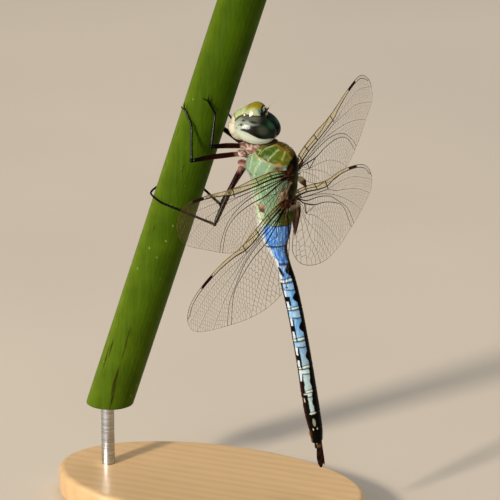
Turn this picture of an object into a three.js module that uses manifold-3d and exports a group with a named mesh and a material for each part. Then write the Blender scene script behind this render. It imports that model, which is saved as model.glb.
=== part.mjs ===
// A common green darner (Anax junius, male) at rest on a cut length of reed, at life size.
// Units are millimetres. +Z is up and towards the head, +X is the insect's back, -Y is its left.
// The insect is described in its own frame, with its origin midway between the hindwing roots;
// the whole model then stands on the flat underside of its oval base, at z = 0.

import * as THREE from 'three';
import { mergeVertices } from 'three/addons/utils/BufferGeometryUtils.js';
import Module from 'manifold-3d';

const wasm = await Module();
wasm.setup();

// ---------------------------------------------------------------- driving dimensions

const GAP = 0.3;                                   // clearance between neighbouring pieces
const INSECT_ORIGIN = new THREE.Vector3(18, 0, 70); // hindwing roots above the base's centre

const FOREWING = {
  root: [0.6, 1.8, 6.24], sweep: 0.126, droop: -0.073, twist: 0.21, thickness: 0.5,
};
const HINDWING = {
  root: [0, 1.8, 0], sweep: -0.173, droop: -0.034, twist: 0.175, thickness: 0.5,
};
// Wing outlines as [distance along the wing, distance forward of its axis], root to tip and back.
const FOREWING_FRONT = [
  [0.6, 1.0], [6, 1.8], [15, 1.7], [25, 1.3], [37, 1.8], [45, 1.5], [49, -0.6],
];
const FOREWING_REAR = [
  [50.2, -3.2], [48, -5.8], [40, -8.3], [29, -10.9], [18, -10.4], [8, -6.6], [0.6, -1.6],
];
const HINDWING_FRONT = [
  [0.6, 1.2], [8.5, 1.5], [16, 1.2], [22, 1.1], [31, 2.0], [42, 1.8], [47.2, 0.4],
];
const HINDWING_REAR = [
  [48.6, -2.4], [45.6, -5.3], [37, -8.9], [27, -12.4], [18, -14.6], [9, -15.0], [3.4, -13.6],
  [0.7, -9.4], [0.6, -2.0],
];

// Each abdominal joint, front to back: height, centre, half depth and half width of the ring.
const ABDOMEN_JOINTS = [
  { z: -2.1, x: -3.3, depth: 4.2, width: 3.3 },
  { z: -3.8, x: -3.4, depth: 3.9, width: 3.0 },
  { z: -10.3, x: -2.8, depth: 2.1, width: 2.2 },
  { z: -17.6, x: -0.3, depth: 1.65, width: 1.7 },
  { z: -23.5, x: 1.15, depth: 1.6, width: 1.8 },
  { z: -29.9, x: 2.4, depth: 1.6, width: 1.85 },
  { z: -36.0, x: 3.5, depth: 1.6, width: 1.9 },
  { z: -41.4, x: 4.35, depth: 1.65, width: 2.0 },
  { z: -45.9, x: 5.15, depth: 1.6, width: 1.95 },
  { z: -49.4, x: 5.9, depth: 1.35, width: 1.7 },
  { z: -51.9, x: 6.15, depth: 1.15, width: 1.5 },
];
const WAIST = { z: -13.2, x: -1.6, depth: 1.5, width: 1.5 };   // the narrow place in segment 3
const SHOULDER = { z: -7.0, x: -3.35, depth: 3.4, width: 2.8 }; // the swelling of segment 2
const ABDOMEN_LEAN = 0.18;                         // tilt of the joints' planes, in radians

const EYE = { centre: [-6.9, 1.75, 15.2], radii: [4.4, 2.95, 3.0], tilt: 0.2, splay: 0.26 };
const STEM = { radius: 4.8, footX: -41.1, footZ: -50, topX: -9.6, topZ: 44.5 };
const ROD = { radius: 1.4, socket: 6 };
const BASE = { halfLength: 34, halfWidth: 20, thickness: 6, edge: 1.2 };

// ---------------------------------------------------------------- colours

const finish = (color, roughness = 0.5, metalness = 0) =>
  new THREE.MeshStandardMaterial({ color, roughness, metalness });

const FINISH = {
  frons: finish('#b9bf4a', 0.3),
  labrum: finish('#e6dfb4', 0.4),
  occiput: finish('#d9dcb2', 0.5),
  eye: finish('#26331c', 0.1),
  antenna: finish('#2a211c', 0.6),
  prothorax: finish('#a98774', 0.6),
  thorax: finish('#86a83f', 0.45),
  green: finish('#8b9a4a', 0.45),
  blue: finish('#6fa3c4', 0.4),
  greyBlue: finish('#8fa6a9', 0.45),
  brown: finish('#4d4236', 0.5),
  wing: finish('#c9a86a', 0.25),
  leg: finish('#241815', 0.35),
  reed: finish('#4f7a12', 0.4),
  maple: finish('#d8b98a', 0.5),
  steel: finish('#b9bcc0', 0.3, 1),
};

// ---------------------------------------------------------------- shape helpers

const vec = (x, y, z) => new THREE.Vector3(x, y, z);
const insect = new THREE.Group();
insect.position.copy(INSECT_ORIGIN);

function addPiece(parent, name, geometry, material) {
  const piece = new THREE.Mesh(geometry, material);
  piece.name = name;
  parent.add(piece);
  return piece;
}

// A closed body lofted through rings: sectionAt(t) runs from t = 0, the end its axis points to,
// to t = 1, and gives the ring's centre, axis, across direction and two half sizes.
function loft(sectionAt, rings, sides) {
  const geometry = new THREE.CylinderGeometry(1, 1, 1, sides, rings);
  const position = geometry.attributes.position;
  const point = vec(0, 0, 0);
  for (let i = 0; i < position.count; i++) {
    point.fromBufferAttribute(position, i);
    const { centre, axis, across, depth, width } = sectionAt(0.5 - point.y);
    const side = across.clone().cross(axis).normalize();
    const place = centre.clone().addScaledVector(across, point.x * depth);
    place.addScaledVector(side, point.z * width);
    position.setXYZ(i, place.x, place.y, place.z);
  }
  return geometry;
}

// An ellipsoid, tilted about Y and then turned about Z.
function ellipsoid([x, y, z], [rx, ry, rz], tilt = 0, turn = 0, columns = 14, rows = 10) {
  const geometry = new THREE.SphereGeometry(1, columns, rows);
  geometry.rotateX(Math.PI / 2);
  geometry.scale(rx, ry, rz);
  geometry.rotateY(tilt);
  geometry.rotateZ(turn);
  geometry.translate(x, y, z);
  return geometry;
}

// A limb: a tapering rod along straight or bent stretches. Its end rings are drawn in to half
// size over a short length, which rounds the ends.
function limb(points, startRadius, endRadius, steps = 4, sides = 7) {
  const curve = points.length === 2
    ? new THREE.LineCurve3(points[0], points[1])
    : new THREE.CatmullRomCurve3(points, false, 'centripetal');
  const shoulder = 0.4 * startRadius / curve.getLength();
  return loft((t) => {
    const ring = Math.round(t * steps);
    const isEnd = ring === 0 || ring === steps;
    const inner = THREE.MathUtils.lerp(shoulder, 1 - shoulder, (ring - 1) / (steps - 2));
    const share = isEnd ? t : inner;
    const axis = curve.getTangent(share).negate();
    const upright = Math.abs(axis.z) > 0.9 ? vec(1, 0, 0) : vec(0, 0, 1);
    const across = upright.cross(axis).normalize();
    const radius = THREE.MathUtils.lerp(startRadius, endRadius, share) * (isEnd ? 0.5 : 1);
    return { centre: curve.getPoint(share), axis, across, depth: radius, width: radius };
  }, steps, sides);
}

function toSolid(geometry) {
  const bare = geometry.clone();
  bare.deleteAttribute('normal');
  bare.deleteAttribute('uv');
  const merged = mergeVertices(bare, 1e-4);
  return new wasm.Manifold(new wasm.Mesh({
    numProp: 3,
    vertProperties: new Float32Array(merged.attributes.position.array),
    triVerts: new Uint32Array(merged.index.array),
  }));
}

function toGeometry(solid) {
  const { vertProperties, triVerts } = solid.getMesh();
  const geometry = new THREE.BufferGeometry();
  geometry.setAttribute('position', new THREE.BufferAttribute(vertProperties, 3));
  geometry.setIndex(new THREE.BufferAttribute(triVerts, 1));
  return geometry;
}

// The geometry with each of `cutters` taken away from it.
function carve(geometry, ...cutters) {
  const solid = cutters.reduce((left, cutter) => left.subtract(toSolid(cutter)), toSolid(geometry));
  return toGeometry(solid);
}

function join(...geometries) {
  return toGeometry(geometries.map(toSolid).reduce((sum, solid) => sum.add(solid)));
}

const onSide = (side, [x, y, z]) => vec(x, side * y, z);

// ---------------------------------------------------------------- head

function eyeShape(side, clearance = 0) {
  const [x, y, z] = EYE.centre;
  const [rx, ry, rz] = EYE.radii;
  const grown = [rx + clearance, ry + clearance, rz + clearance];
  return ellipsoid([x, side * y, z], grown, EYE.tilt, -side * EYE.splay);
}

// Two bulges, the frons above and the clypeus below it, make the front of the face.
const fronsShape = (clearance = 0) => join(
  ellipsoid([-8.2, 0, 17.0], [3.0 + clearance, 3.0 + clearance, 3.8 + clearance], 0.5),
  ellipsoid([-9.9, 0, 16.0], [2.75 + clearance, 3.1 + clearance, 2.9 + clearance]),
);
const mouthShape = (clearance = 0) =>
  ellipsoid([-10.7, 0, 14.6], [2.7 + clearance, 3.1 + clearance, 2.8 + clearance], 0.35);
const occiputShape = (clearance = 0) =>
  ellipsoid([-7.3, 0, 13.4], [3.1 + clearance, 3.5 + clearance, 2.0 + clearance], 0.2);

function buildHead() {
  for (const [side, name] of [[-1, 'eye_left'], [1, 'eye_right']]) {
    const farHalf = new THREE.BoxGeometry(30, 10, 40).translate(-6, -side * (5 - GAP / 2), 15);
    addPiece(insect, name, carve(eyeShape(side), farHalf, thoraxShape(GAP)), FINISH.eye);
  }
  const eyes = [eyeShape(-1, GAP), eyeShape(1, GAP)];
  addPiece(insect, 'face_frons', carve(fronsShape(), ...eyes), FINISH.frons);
  addPiece(insect, 'mouth', carve(mouthShape(), ...eyes, fronsShape(GAP)), FINISH.labrum);
  const hips = [hipShape(-1, 'fore', GAP), hipShape(1, 'fore', GAP)];
  const hidden = [...eyes, ...hips, fronsShape(GAP), mouthShape(GAP), thoraxShape(GAP)];
  addPiece(insect, 'head_rear', carve(occiputShape(), ...hidden), FINISH.occiput);
  for (const [side, name] of [[-1, 'antenna_left'], [1, 'antenna_right']]) {
    const root = vec(-5.5, side * 1.1, 18.6);
    const feeler = limb([root, vec(-4.4, side * 2.1, 20.5)], 0.3, 0.25, 4, 6);
    addPiece(insect, name, carve(feeler, ...eyes, fronsShape(GAP)), FINISH.antenna);
  }
}

// ---------------------------------------------------------------- thorax

// Stations of the winged thorax, front to back, as rings across the upright body axis.
const THORAX = [
  { z: 12.4, x: -3.3, depth: 1.2, width: 1.2 },
  { z: 11.6, x: -3.3, depth: 2.95, width: 2.6 },
  { z: 10.4, x: -3.4, depth: 4.3, width: 3.7 },
  { z: 8.6, x: -4.0, depth: 5.5, width: 4.2 },
  { z: 7.0, x: -4.0, depth: 5.8, width: 4.3 },
  { z: 5.0, x: -3.4, depth: 5.35, width: 4.3 },
  { z: 2.0, x: -3.25, depth: 4.9, width: 4.1 },
  { z: -0.3, x: -3.25, depth: 4.5, width: 3.7 },
  { z: -1.8, x: -3.3, depth: 4.2, width: 3.35 },
];

// Reads a smooth ring at share t of the way through a list of stations.
function stationReader(stations) {
  const middle = new THREE.CatmullRomCurve3(
    stations.map(({ x, z }) => vec(x, 0, z)), false, 'centripetal');
  const sizes = new THREE.CatmullRomCurve3(
    stations.map(({ depth, width, z }) => vec(depth, width, z)), false, 'centripetal');
  return (t) => {
    const size = sizes.getPoint(t);
    return { centre: middle.getPoint(t), depth: size.x, width: size.y };
  };
}

const thoraxAt = stationReader(THORAX);

// The thorax, or a coarser copy of it grown by a clearance, which cuts its neighbours.
const thoraxShape = (clearance = 0) => loft((t) => {
  const ring = thoraxAt(t);
  ring.centre.z += clearance * (1 - 2 * t);
  ring.depth += clearance;
  ring.width += clearance;
  return { ...ring, axis: vec(0, 0, 1), across: vec(1, 0, 0) };
}, clearance ? 9 : 14, clearance ? 16 : 22);

// Where each pair of legs is jointed to the thorax.
const HIPS = {
  fore: [-9.5, 1.6, 11.3], middle: [-9.8, 1.8, 9.7], hind: [-9.5, 2.0, 7.7],
};
const HIP_RADII = [1.2, 1.1, 0.66];

const hipShape = (side, pair, clearance = 0) =>
  ellipsoid(onSide(side, HIPS[pair]).toArray(), HIP_RADII.map((r) => r + clearance), 0.2, 0, 10, 8);

function buildThorax() {
  addPiece(insect, 'thorax', thoraxShape(), FINISH.thorax);
  const neck = ellipsoid([-7.6, 0, 11.1], [2.6, 2.7, 1.7], 0.25);
  const cutters = [
    thoraxShape(GAP), eyeShape(-1, GAP), eyeShape(1, GAP), mouthShape(GAP), occiputShape(GAP),
    hipShape(-1, 'fore', GAP), hipShape(1, 'fore', GAP),
  ];
  addPiece(insect, 'prothorax', carve(neck, ...cutters), FINISH.prothorax);
}

// ---------------------------------------------------------------- abdomen

function buildAbdomen() {
  const stations = [...ABDOMEN_JOINTS];
  stations.splice(2, 0, SHOULDER);
  stations.splice(4, 0, WAIST);
  const read = stationReader(stations);
  // The share of the whole spline at which each joint lies: a spline point per station.
  const shareOf = (joint) => stations.indexOf(joint) / (stations.length - 1);
  const tints = [
    'green', 'blue', 'blue', 'blue', 'blue', 'greyBlue', 'greyBlue', 'brown', 'brown', 'brown',
  ];
  for (let n = 0; n < 10; n++) {
    const first = shareOf(ABDOMEN_JOINTS[n]);
    const last = shareOf(ABDOMEN_JOINTS[n + 1]);
    const trim = 0.5 * GAP / (ABDOMEN_JOINTS[n].z - ABDOMEN_JOINTS[n + 1].z) * (last - first);
    const rings = n === 1 || n === 2 ? 6 : 3;
    const segment = loft((t) => {
      const share = THREE.MathUtils.lerp(first + trim, last - trim, t);
      const ring = read(share);
      const bulge = 1 + 0.03 * Math.sin(Math.PI * t);
      const lean = ABDOMEN_LEAN * THREE.MathUtils.clamp((share - shareOf(SHOULDER)) * 5, 0, 1);
      const axis = vec(-Math.sin(lean), 0, Math.cos(lean));
      const across = vec(Math.cos(lean), 0, Math.sin(lean));
      return { centre: ring.centre, depth: ring.depth * bulge, width: ring.width * bulge, axis, across };
    }, rings, 18);
    addPiece(insect, `abdomen_${n + 1}`, segment, FINISH[tints[n]]);
  }
}

// The claspers at the abdomen's tip: two long leaf-shaped cerci and the short epiproct.
function leaf(from, to, halfWidth, halfThickness) {
  const along = new THREE.LineCurve3(from, to);
  const axis = from.clone().sub(to).normalize();
  const across = vec(0, 1, 0).cross(axis).normalize();
  return loft((t) => {
    const swell = Math.max(0.3, Math.sin(Math.PI * Math.pow(t * 0.92 + 0.06, 0.8)));
    return { centre: along.getPoint(t), axis, across, depth: halfThickness, width: halfWidth * swell };
  }, 6, 8);
}

function buildClaspers() {
  for (const [side, name] of [[-1, 'cercus_left'], [1, 'cercus_right']]) {
    const shape = leaf(vec(6.7, side * 0.75, -52.3), vec(7.5, side * 1.35, -57.4), 0.65, 0.28);
    addPiece(insect, name, shape, FINISH.brown);
  }
  addPiece(insect, 'epiproct', leaf(vec(5.8, 0, -52.3), vec(6.1, 0, -53.6), 0.6, 0.28), FINISH.brown);
}

// ---------------------------------------------------------------- wings

// The abdomen's first two rings as one body, which the hindwings' inner edges stay clear of.
const waistShape = (clearance) => {
  const [start, , end] = ABDOMEN_JOINTS;
  return loft((t) => {
    const z = THREE.MathUtils.lerp(start.z, end.z, t);
    const x = THREE.MathUtils.lerp(start.x, end.x, t);
    const depth = THREE.MathUtils.lerp(start.depth, end.depth, t) + clearance;
    const width = THREE.MathUtils.lerp(start.width, end.width, t) + clearance;
    return { centre: vec(x, 0, z), depth, width, axis: vec(0, 0, 1), across: vec(1, 0, 0) };
  }, 4, 16);
};

// A wing is a flat plate in the plane of its span and chord, cut clear of the body.
function wingShape({ root, sweep, droop, twist, thickness }, front, rear, side) {
  const outline = new THREE.SplineCurve([...front, ...rear].map(([u, v]) => new THREE.Vector2(u, v)));
  const shape = new THREE.Shape(outline.getSpacedPoints(48));
  const plate = new THREE.ExtrudeGeometry(shape, { depth: thickness, bevelEnabled: false, steps: 1 });
  plate.translate(0, 0, -thickness / 2);
  const span = vec(
    Math.sin(droop),
    Math.cos(droop) * Math.cos(sweep),
    Math.cos(droop) * Math.sin(sweep),
  );
  const chord = vec(-Math.sin(twist), 0, Math.cos(twist));
  chord.addScaledVector(span, -chord.dot(span)).normalize();
  const face = span.clone().cross(chord);
  const placing = new THREE.Matrix4().makeBasis(span, chord, face);
  placing.setPosition(vec(...root));
  plate.applyMatrix4(placing);
  const clear = toSolid(plate).subtract(toSolid(thoraxShape(GAP))).subtract(toSolid(waistShape(GAP)));
  return toGeometry(side < 0 ? clear.mirror([0, 1, 0]) : clear);
}

function buildWings() {
  const pairs = [
    ['forewing', FOREWING, FOREWING_FRONT, FOREWING_REAR],
    ['hindwing', HINDWING, HINDWING_FRONT, HINDWING_REAR],
  ];
  for (const [kind, pose, front, rear] of pairs) {
    for (const [side, hand] of [[-1, 'left'], [1, 'right']]) {
      addPiece(insect, `${kind}_${hand}`, wingShape(pose, front, rear, side), FINISH.wing);
    }
  }
}

// ---------------------------------------------------------------- legs

// Knee, ankle and toe of each leg. The left legs cross the reed's near face and the right ones
// pass behind it; the hind legs reach round it.
const LEGS = {
  leg_fore_left: {
    side: -1, pair: 'fore', knee: [-14.4, 7, 12.1], ankle: [-14.6, 4.4, 18.4], toe: [-15.9, 5.2, 21.3],
  },
  leg_middle_left: {
    side: -1, pair: 'middle', knee: [-18.4, 8, 8.9], ankle: [-19.4, 5.6, 15.7], toe: [-21.5, 4.4, 18.6],
  },
  leg_hind_left: {
    side: -1, pair: 'hind', knee: [-12.9, 9, -3.8], ankle: [-26.6, 5.5, -1.9], toe: [-30.4, 1.7, -1.6],
    hook: [-30.3, -1.2, -1.0],
  },
  leg_fore_right: {
    side: 1, pair: 'fore', knee: [-10.0, 7.2, 17.0], ankle: [-15.5, 6.0, 14.3], toe: [-17.3, 5.5, 17.2],
  },
  leg_middle_right: {
    side: 1, pair: 'middle', knee: [-20.5, 7.5, 12.5], ankle: [-21.9, 5.6, 17.6], toe: [-20.9, 4.7, 21.2],
  },
  leg_hind_right: {
    side: 1, pair: 'hind', knee: [-18.0, 6.0, -4.9], ankle: [-26.4, 6.2, 1.5], toe: [-28.2, 3.4, 4.2],
  },
};

function buildLegs() {
  for (const [name, { side, pair, knee, ankle, toe, hook }] of Object.entries(LEGS)) {
    const hip = onSide(side, HIPS[pair]);
    const [bend, heel, tip] = [knee, ankle, toe].map((place) => onSide(side, place));
    const body = [thoraxShape(GAP), eyeShape(side, GAP), mouthShape(GAP)];
    addPiece(insect, `${name}_coxa`, carve(hipShape(side, pair), ...body), FINISH.prothorax);
    const thigh = limb([hip, bend], 0.62, 0.42, 5, 8);
    addPiece(insect, `${name}_femur`, carve(thigh, hipShape(side, pair, GAP), ...body), FINISH.leg);
    const shinStart = bend.clone().addScaledVector(heel.clone().sub(bend).normalize(), 0.8);
    addPiece(insect, `${name}_tibia`, limb([shinStart, heel], 0.36, 0.3, 4, 7), FINISH.leg);
    const footStart = heel.clone().addScaledVector(tip.clone().sub(heel).normalize(), 0.65);
    const foot = hook ? [footStart, tip, onSide(side, hook)] : [footStart, tip];
    const claw = limb(foot, 0.28, 0.25, hook ? 7 : 4, 6);
    addPiece(insect, `${name}_tarsus`, carve(claw, stemShape(GAP)), FINISH.leg);
  }
}

// ---------------------------------------------------------------- perch and stand

function stemAxis(z) {
  const share = (z - STEM.footZ) / (STEM.topZ - STEM.footZ);
  return THREE.MathUtils.lerp(STEM.footX, STEM.topX, share);
}

// The reed leans, so its level rings are slightly longer than they are wide.
function stemShape(clearance = 0) {
  const lean = Math.atan2(STEM.topX - STEM.footX, STEM.topZ - STEM.footZ);
  return loft((t) => {
    const z = THREE.MathUtils.lerp(STEM.topZ, STEM.footZ, t);
    return {
      centre: vec(stemAxis(z), 0, z),
      axis: vec(0, 0, 1),
      across: vec(1, 0, 0),
      depth: (STEM.radius + clearance) / Math.cos(lean),
      width: STEM.radius + clearance,
    };
  }, 4, 24);
}

function buildPerch() {
  const socketTop = STEM.footZ + ROD.socket + GAP;
  const drill = new THREE.CylinderGeometry(ROD.radius + GAP, ROD.radius + GAP, 40, 20);
  drill.rotateX(Math.PI / 2);
  drill.translate(STEM.footX - 0.6, 0, socketTop - 20);
  addPiece(insect, 'perch_reed', carve(stemShape(), drill), FINISH.reed);
}

const display = new THREE.Group();

function buildStand() {
  const { halfLength, halfWidth, thickness, edge } = BASE;
  const profile = [
    new THREE.Vector2(0, 0),
    new THREE.Vector2(1 - edge / halfLength, 0),
    new THREE.Vector2(1, edge),
    new THREE.Vector2(1, thickness - edge),
    new THREE.Vector2(1 - edge / halfLength, thickness),
    new THREE.Vector2(0, thickness),
  ];
  const plinth = new THREE.LatheGeometry(profile, 40);
  plinth.rotateX(Math.PI / 2);
  plinth.scale(halfLength, halfWidth, 1);
  const rodX = INSECT_ORIGIN.x + STEM.footX - 0.6;
  const rodBottom = thickness - 3;
  const rodTop = INSECT_ORIGIN.z + STEM.footZ + ROD.socket;
  const rod = new THREE.CylinderGeometry(ROD.radius, ROD.radius, rodTop - rodBottom, 20);
  rod.rotateX(Math.PI / 2);
  rod.translate(rodX, 0, (rodTop + rodBottom) / 2);
  const bore = new THREE.CylinderGeometry(ROD.radius + GAP, ROD.radius + GAP, 10, 20);
  bore.rotateX(Math.PI / 2);
  bore.translate(rodX, 0, rodBottom - GAP + 5);
  addPiece(display, 'stand_base', carve(plinth, bore), FINISH.maple);
  addPiece(display, 'stand_rod', rod, FINISH.steel);
}

// ---------------------------------------------------------------- assembly

buildHead();
buildThorax();
buildAbdomen();
buildClaspers();
buildWings();
buildLegs();
buildPerch();
buildStand();

const model = new THREE.Group();
model.add(insect, display);

export default model;
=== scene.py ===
"""Looks for a life-size male common green darner that grips a cut reed on a small display stand."""

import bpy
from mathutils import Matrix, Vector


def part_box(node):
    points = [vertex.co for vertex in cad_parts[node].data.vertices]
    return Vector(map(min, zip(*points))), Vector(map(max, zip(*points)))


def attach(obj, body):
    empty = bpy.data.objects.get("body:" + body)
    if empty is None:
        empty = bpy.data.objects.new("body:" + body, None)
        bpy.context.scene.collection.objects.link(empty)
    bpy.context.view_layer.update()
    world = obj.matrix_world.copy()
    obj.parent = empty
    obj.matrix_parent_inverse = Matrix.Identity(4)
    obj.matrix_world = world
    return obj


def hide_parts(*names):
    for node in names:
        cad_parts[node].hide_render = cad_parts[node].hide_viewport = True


bl_info = {
    "name": "Green Darner Display Model",
    "version": (1, 0, 0),
    "blender": (4, 5, 0),
    "location": "3D Viewport > Sidebar > Darner",
    "description": "Builds the darner's skin, eyes, wings and legs, its reed perch and its stand",
    "category": "Object",
}

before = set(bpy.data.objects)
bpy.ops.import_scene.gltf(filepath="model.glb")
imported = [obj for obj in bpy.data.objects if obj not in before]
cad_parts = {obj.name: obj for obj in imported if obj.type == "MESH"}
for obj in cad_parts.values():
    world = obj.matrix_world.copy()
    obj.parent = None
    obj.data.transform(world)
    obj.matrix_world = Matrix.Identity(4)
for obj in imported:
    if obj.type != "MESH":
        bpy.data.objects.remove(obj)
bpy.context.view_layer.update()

import math

import bmesh
import bpy
import numpy as np
from mathutils import Matrix, Vector, noise
from mathutils.geometry import delaunay_2d_cdt

# The insect is modelled in millimetres about the point midway between its hindwing roots, with
# +Z towards the head, +X its back and -Y its left. `settle` takes each piece to the row frame.
INSECT_ORIGIN = Vector((0.018, 0.0, 0.070))
MM = 0.001

# Rings of the thorax and abdomen, head to tail: height, centre, half depth, half width.
BODY_RINGS = (
    (12.4, -3.3, 1.2, 1.2), (11.6, -3.3, 2.95, 2.6), (10.4, -3.4, 4.3, 3.7),
    (8.6, -4.0, 5.5, 4.2), (7.0, -4.0, 5.8, 4.3), (5.0, -3.4, 5.35, 4.3),
    (2.0, -3.25, 4.9, 4.1), (-0.3, -3.25, 4.5, 3.7), (-2.1, -3.3, 4.2, 3.3),
    (-3.8, -3.4, 3.9, 3.0), (-7.0, -3.35, 3.4, 2.8), (-10.3, -2.8, 2.1, 2.2),
    (-13.2, -1.6, 1.5, 1.5), (-17.6, -0.3, 1.65, 1.7), (-23.5, 1.15, 1.6, 1.8),
    (-29.9, 2.4, 1.6, 1.85), (-36.0, 3.5, 1.6, 1.9), (-41.4, 4.35, 1.65, 2.0),
    (-45.9, 5.15, 1.6, 1.95), (-49.4, 5.9, 1.35, 1.7), (-51.9, 6.15, 1.15, 1.5),
)
# Heights of the joints between the abdomen's segments.
JOINTS = (-2.1, -3.8, -9.55, -17.35, -23.1, -29.75, -35.7, -40.9, -45.6, -48.9, -51.9)
# The cross ridge of each segment, as a share of its length.
CARINAE = {2: 0.33, 3: 0.49, 4: 0.25, 5: 0.24, 6: 0.2, 7: 0.19, 8: 0.16}
LEAN = 0.18  # of the abdomen's rings, in radians
# The skin lies this share of its rings' size out, which leaves room for its relief.
INSET = 0.985
SKIN_MM = 0.078  # of skin for one degree round the thorax
# Numbers of the body skin's parts and of the wing plates' parts.
TRUNK, COLLAR, HIP, TAIL_LOBE = range(4)
STIGMA, PLATE, FLAP = range(1, 4)

EYE = {"centre": (-6.9, 1.75, 15.2), "radii": (4.4, 2.95, 3.0), "tilt": 0.2, "splay": 0.26}
# The hips, and then each leg's knee, ankle and foot joints; the left ones are mirrored to -Y.
HIPS = {"fore": (-9.5, 1.6, 11.3), "middle": (-9.8, 1.8, 9.7), "hind": (-9.5, 2.0, 7.7)}
LEGS = {
    "leg_fore_left": ((-14.4, 7, 12.1), (-14.6, 4.4, 18.4), (-15.9, 5.2, 21.3)),
    "leg_middle_left": ((-18.4, 8, 8.9), (-19.4, 5.6, 15.7), (-21.5, 4.4, 18.6)),
    "leg_hind_left": ((-12.9, 9, -3.8), (-26.6, 5.5, -1.9), (-30.4, 1.7, -1.6),
                      (-30.3, -1.2, -1.0)),
    "leg_fore_right": ((-10.0, 7.2, 17.0), (-15.5, 6.0, 14.3), (-17.3, 5.5, 17.2)),
    "leg_middle_right": ((-20.5, 7.5, 12.5), (-21.9, 5.6, 17.6), (-20.9, 4.7, 21.2)),
    "leg_hind_right": ((-18.0, 6.0, -4.9), (-26.4, 6.2, 1.5), (-28.2, 3.4, 4.2)),
}
STEM_FOOT = Vector((-41.1, 0, -50))
STEM_TOP = Vector((-9.6, 0, 44.5))
STEM_RADIUS = 4.8
STEM_DEGREE_MM = 0.084  # of reed for one degree round it
# The camera's lens in mm, its angles in degrees, and how far right of and above the frame's
# middle the insect sits, in frame widths.
CAMERA = {"lens": 351.03, "azimuth": 22.348, "elevation": 18.673, "right": 0.0795, "up": 0.09712}

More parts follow.
